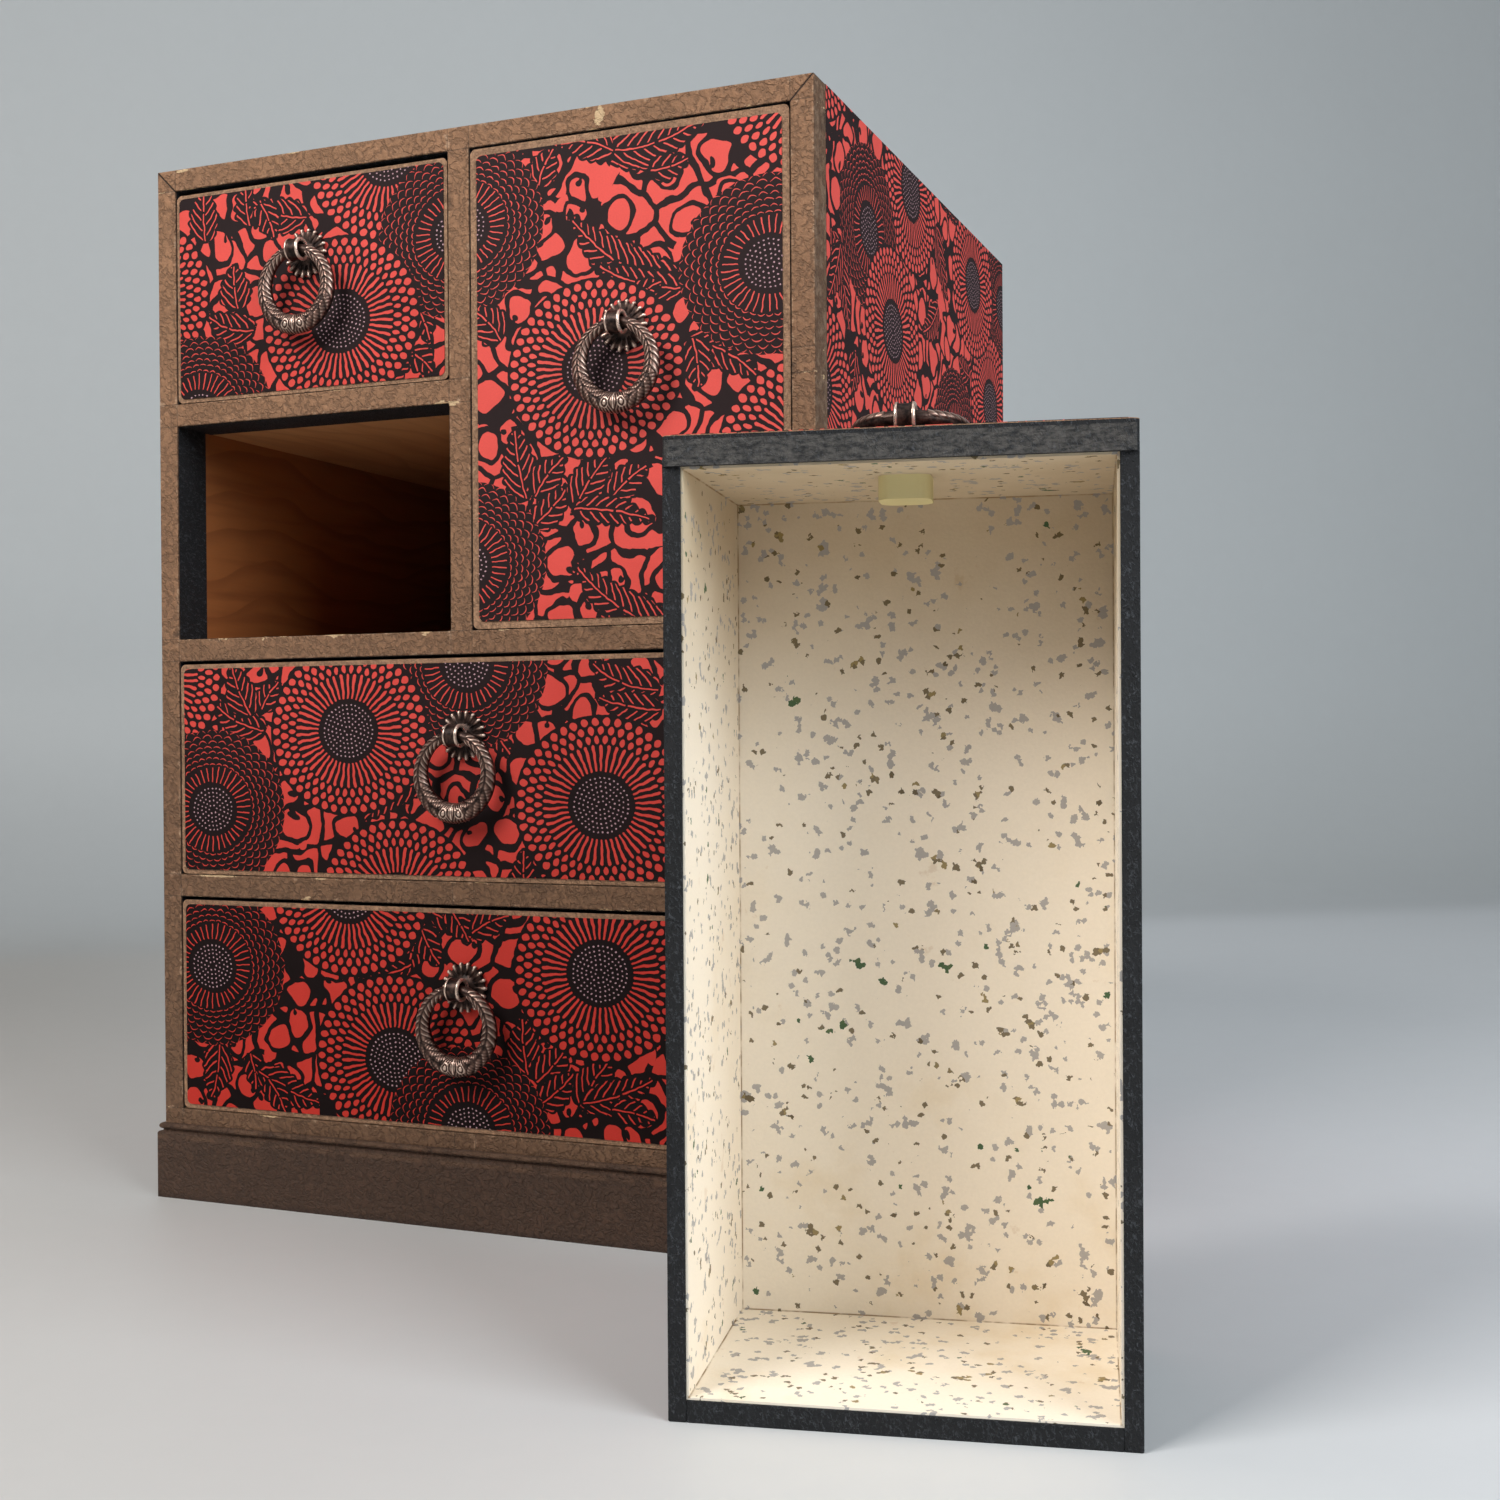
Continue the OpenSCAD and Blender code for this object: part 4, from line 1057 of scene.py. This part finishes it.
print("materials: covers and frame")
paint("cover_papers", makeMaterial("printed_cover", coverPaper))
soften(paint("front_edging", makeMaterial("brown_edging", edgingPaper)), softValues["edging"])
paint("plinth", makeMaterial("brown_plinth", plinthPaper))
for kind, boardNames in {
    "red": ("left_side", "right_side", "centre_divider", "middle_shelf"), "tan": ("small_shelf",),
    "plain": ("top_board", "bottom_board", "back_panel", "lower_shelf"),
}.items():
    wood = woodMaterial(kind)
    for nodeName in boardNames:
        paint(nodeName, wood)

print("materials: drawers")
boards = {(s, f): boardPaper(s, f) for s in (False, True) for f in (False, True)}
paint("bay_strips", boards[False, False])
castBrass = brassMaterial("brass_cast", ringRelief)
for name in drawerNames:
    stood = name == "taken_out"
    paint(name + "_front", boards[stood, True])
    for part in ("side_walls", "back_wall", "bottom"):
        soften(paint(f"{name}_{part}", boards[stood, False]), softValues["board"])
    paint(name + "_lining", liningPaper(name))
    paint(name + "_face_paper", facePaper(name))
    paint(name + "_rosette", brassMaterial("brass_rosette_" + name, rosetteRelief, name))
    paint(name + "_eye", brassMaterial("brass_eye_" + name, eyeRelief, name))


# Cast rings: the solid's form with finer leaves

ringValues = {
    "outer": 12.7, "hole": 8.2, "offset": 1.2, "drop": 11.05, "topHalf": 1.5, "footHalf": 2.2, "leaf": 0.34,
    "around": 432, "section": 60, "bareTop": 22.0, "middle": 10.4, "claspEnd": 3.9, "broadEnd": 13.5,
    "leafPitch": 1.7, "broadPitch": 2.7, "berryAt": 2.5, "berry": 0.62, "moat": 0.88, "collar": 1.22,
    "sideReach": 3.3, "bareSide": 3.4, "bareRise": 0.2, "broadVein": 0.45,
}


def claspHeight(u, w):
    v = ringValues
    berry = math.hypot(u - v["berryAt"], w + 0.3)
    if berry < v["berry"]:
        return 0.55 + 0.45 * math.sqrt(1 - (berry / v["berry"]) ** 2)
    if berry < v["moat"]:
        return 0.0
    if berry < v["collar"]:
        return 0.9
    leaf = 0.75 * max(0.0, 1 - ((w - 0.4) / 2.1) ** 2)
    if u < leaf:
        return 0.4 + 0.6 * abs(math.cos(u * 4.2))
    return 0.1 + 0.75 * (0.5 + 0.5 * math.cos((u - leaf) * 7.5 + abs(w) * 1.3))


def leafHeight(u, w, pitch, vein):
    phase = u / pitch + abs(w) * 0.46
    saw = phase - math.floor(phase)
    row = min(1.0, abs(w) / 0.5) * min(1.0, max(0.0, (ringValues["sideReach"] - abs(w)) / 0.7))
    ribbed = 1 - vein * (0.5 + 0.5 * math.cos(2 * math.pi * (u / pitch * 3 - abs(w) * 0.5)))
    return row * (1 - saw) ** 0.6 * min(1.0, saw / 0.08) * ribbed


def ringHeight(turn, section):
    v = ringValues
    swing = 180 - abs(turn - 180)
    u = math.radians(180 - swing) * v["middle"]
    w = (section - 90) / 90 * v["sideReach"]
    if abs(w) > v["bareSide"]:
        return 0.0
    if swing < v["bareTop"]:
        return v["bareRise"]
    if u < v["claspEnd"]:
        return claspHeight(u, w)
    if u < v["broadEnd"]:
        return leafHeight(u, w, v["broadPitch"], v["broadVein"])
    return leafHeight(u, w, v["leafPitch"], 0.0)


def castRingMesh():
    v = ringValues
    points, faces, relief = [], [], []
    for i in range(v["around"]):
        turn = i * 360 / v["around"]
        a = math.radians(turn)
        hole = v["offset"] * math.cos(a) + math.sqrt(v["hole"] ** 2 - (v["offset"] * math.sin(a)) ** 2)
        mid, half = (v["outer"] + hole) / 2, (v["outer"] - hole) / 2
        deep = v["topHalf"] + (v["footHalf"] - v["topHalf"]) * (1 - math.cos(a)) / 2
        for j in range(v["section"]):
            section = j * 360 / v["section"]
            f = math.radians(section)
            front = section if section <= 270 else section - 360
            rise = ringHeight(turn, front)
            lift = v["leaf"] * rise
            r = mid + (half - v["leaf"] + lift) * math.cos(f)
            points.append((r * math.sin(a), -(deep + lift) * math.sin(f), r * math.cos(a) - v["drop"]))
            relief.append(rise)
            here, there = i * v["section"], (i + 1) % v["around"] * v["section"]
            j2 = (j + 1) % v["section"]
            faces.append((here + j, there + j, there + j2, here + j2))
    mesh = bpy.data.meshes.new("cast_ring")
    mesh.from_pydata([tuple(c / 1000 for c in p) for p in points], [], faces)
    mesh.update()
    layer = mesh.attributes.new("relief", "FLOAT", "POINT")
    layer.data.foreach_set("value", relief)
    mesh.polygons.foreach_set("use_smooth", [True] * len(mesh.polygons))
    mesh.materials.append(castBrass)
    return mesh


print("cast rings")
ringMesh = castRingMesh()
for name in drawerNames:
    body = name + "_pull_ring"
    ring = bpy.data.objects.new(name + "_cast_ring", ringMesh)
    scene.collection.objects.link(ring)
    pivot = hinges[body]
    ring.matrix_world = Matrix.Translation(pivot)
    if name == "taken_out":
        low = place["pivotOut"] - ringValues["footHalf"] - 2 * ringValues["leaf"]
        lie = math.asin(low / place["footReach"])
        ring.matrix_world = (
            Matrix.Translation(pivot)
            @ Matrix.Rotation(math.pi + place["stoodTurn"], 4, "Z")
            @ Matrix.Rotation(-math.pi / 2, 4, "X")
            @ Matrix.Rotation(lie, 4, "X")
        )
    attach(ring, body)
    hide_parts(name + "_ring")


# Stage, light and camera

worldValues = {"colour": rgb("C9CED2"), "light": 0.04, "seen": 0.7, "mirrored": 0.25}
stageValues = {
    # The floor's two colours paint light: darker to the left, lighter to the right
    "floorShadedLeft": rgb("C4C1BD"), "floorLitRight": rgb("E5E8EC"), "leftEnd": -0.25, "rightEnd": 0.3,
    "wall": rgb("C6CACC"), "wallFrom": 0.72, "bend": 0.2, "turn": math.radians(36),
    "paleFrom": 1.45, "paleTo": 2.15, "front": -2.2, "rise": 2.6, "half": 4.0, "steps": 12,
    "wallBlend": 0.1, "blotches": (3.0, 4.0, 0.6), "grain": (90.0, 3.0, 0.6), "bump": (0.15, 0.0004),
}
lightValues = {
    "key": ((-0.31, -0.72, 0.81), (0.02, 0.0, 0.18), 0.5, 8.5, (1.0, 0.975, 0.94)),
    "fill": ((1.3, -0.5, 0.8), (0.1, 0.05, 0.14), 0.9, 17.0, (0.90, 0.965, 1.0)),
    "top": ((0.1, -0.1, 1.5), (0.1, 0.0, 0.0), 0.8, 2.6, (1.0, 0.99, 0.97)),
}
cameraValues = {
    "lens": 42.696, "sensor": 36.0, "near": 0.01, "place": (0.25189, -0.42068, 0.13360),
    "right": (0.92853, 0.37121, -0.0062), "forward": (-0.37125, 0.92851, -0.00709),
}


def floorLook(g):
    v = stageValues
    point = objectPoint(g)[0]
    x, y, _ = g.split(point)
    blotch = g.noise(point, *v["blotches"])
    fine = g.noise(point, *v["grain"])
    far = g.ease(v["wallFrom"] - v["wallBlend"], v["wallFrom"] + v["wallBlend"], y)
    toRight = g.ease(v["leftEnd"], v["rightEnd"], x)
    # Painted light: the floor darkens to the left and brightens to the right
    tone = g.colour(toRight, v["floorShadedLeft"], v["floorLitRight"])
    tone = g.colour(far, tone, v["wall"])
    facing = g.node("ShaderNodeNewGeometry").outputs["Backfacing"]
    seen = Wire(g, g.node("ShaderNodeLightPath").outputs["Is Camera Ray"])
    pale = g.ease(v["paleFrom"], v["paleTo"], g.reach(x, y)) * seen
    tone = g.shade(tone, (blotch * 0.06 + fine * 0.03 + 0.955) * (1.0 - pale))
    return {"Base Color": tone, "Alpha": 1.0 - Wire(g, facing),
            "Emission Color": worldValues["colour"], "Emission Strength": pale * worldValues["seen"],
            "Roughness": blotch * 0.15 + 0.42, "Bump": (fine, *v["bump"])}


def makeStage():
    v = stageValues
    bend, wall = v["bend"], v["wallFrom"]
    profile = [(v["front"], 0.0), (wall, 0.0)]
    for k in range(1, v["steps"] + 1):
        a = math.pi / 2 * k / v["steps"]
        profile.append((wall + bend * math.sin(a), bend - bend * math.cos(a)))
    profile.append((wall + bend, v["rise"]))
    points = [(x, y, z) for y, z in profile for x in (-v["half"], v["half"])]
    faces = [(2 * k, 2 * k + 1, 2 * k + 3, 2 * k + 2) for k in range(len(profile) - 1)]
    mesh = bpy.data.meshes.new("studio_floor")
    mesh.from_pydata(points, [], faces)
    mesh.polygons.foreach_set("use_smooth", [True] * len(faces))
    mesh.materials.append(makeMaterial("studio_floor", floorLook))
    floor = bpy.data.objects.new("studio_floor", mesh)
    floor.rotation_euler = (0, 0, v["turn"])
    scene.collection.objects.link(floor)


def areaLight(name, spot, target, size, power, colour):
    data = bpy.data.lights.new(name, "AREA")
    data.size = size
    data.energy = power
    data.color = colour
    lamp = bpy.data.objects.new(name, data)
    lamp.location = spot
    lamp.rotation_mode = "QUATERNION"
    lamp.rotation_quaternion = (Vector(target) - Vector(spot)).to_track_quat("-Z", "Y")
    scene.collection.objects.link(lamp)


print("stage, light, camera")
makeStage()
for name, values in lightValues.items():
    areaLight(name, *values)
world = bpy.data.worlds.new("studio")
world.use_nodes = True
studio = Graph(world.node_tree)
rays = studio.node("ShaderNodeLightPath").outputs
backdrop = world.node_tree.nodes["Background"]
backdrop.inputs["Color"].default_value = worldValues["colour"]
studio.feed(
    Wire(studio, rays["Is Camera Ray"]) * worldValues["seen"]
    + Wire(studio, rays["Is Glossy Ray"]) * worldValues["mirrored"] + worldValues["light"],
    backdrop.inputs["Strength"],
)
scene.world = world
scene.view_settings.view_transform = "Standard"

cameraData = bpy.data.cameras.new("camera")
cameraData.lens = cameraValues["lens"]
cameraData.sensor_width = cameraValues["sensor"]
cameraData.clip_start = cameraValues["near"]
camera = bpy.data.objects.new("camera", cameraData)
right = Vector(cameraValues["right"]).normalized()
forward = Vector(cameraValues["forward"]).normalized()
turned = Matrix((right, right.cross(forward), -forward)).transposed().to_4x4()
camera.matrix_world = Matrix.Translation(cameraValues["place"]) @ turned
scene.collection.objects.link(camera)
scene.camera = camera
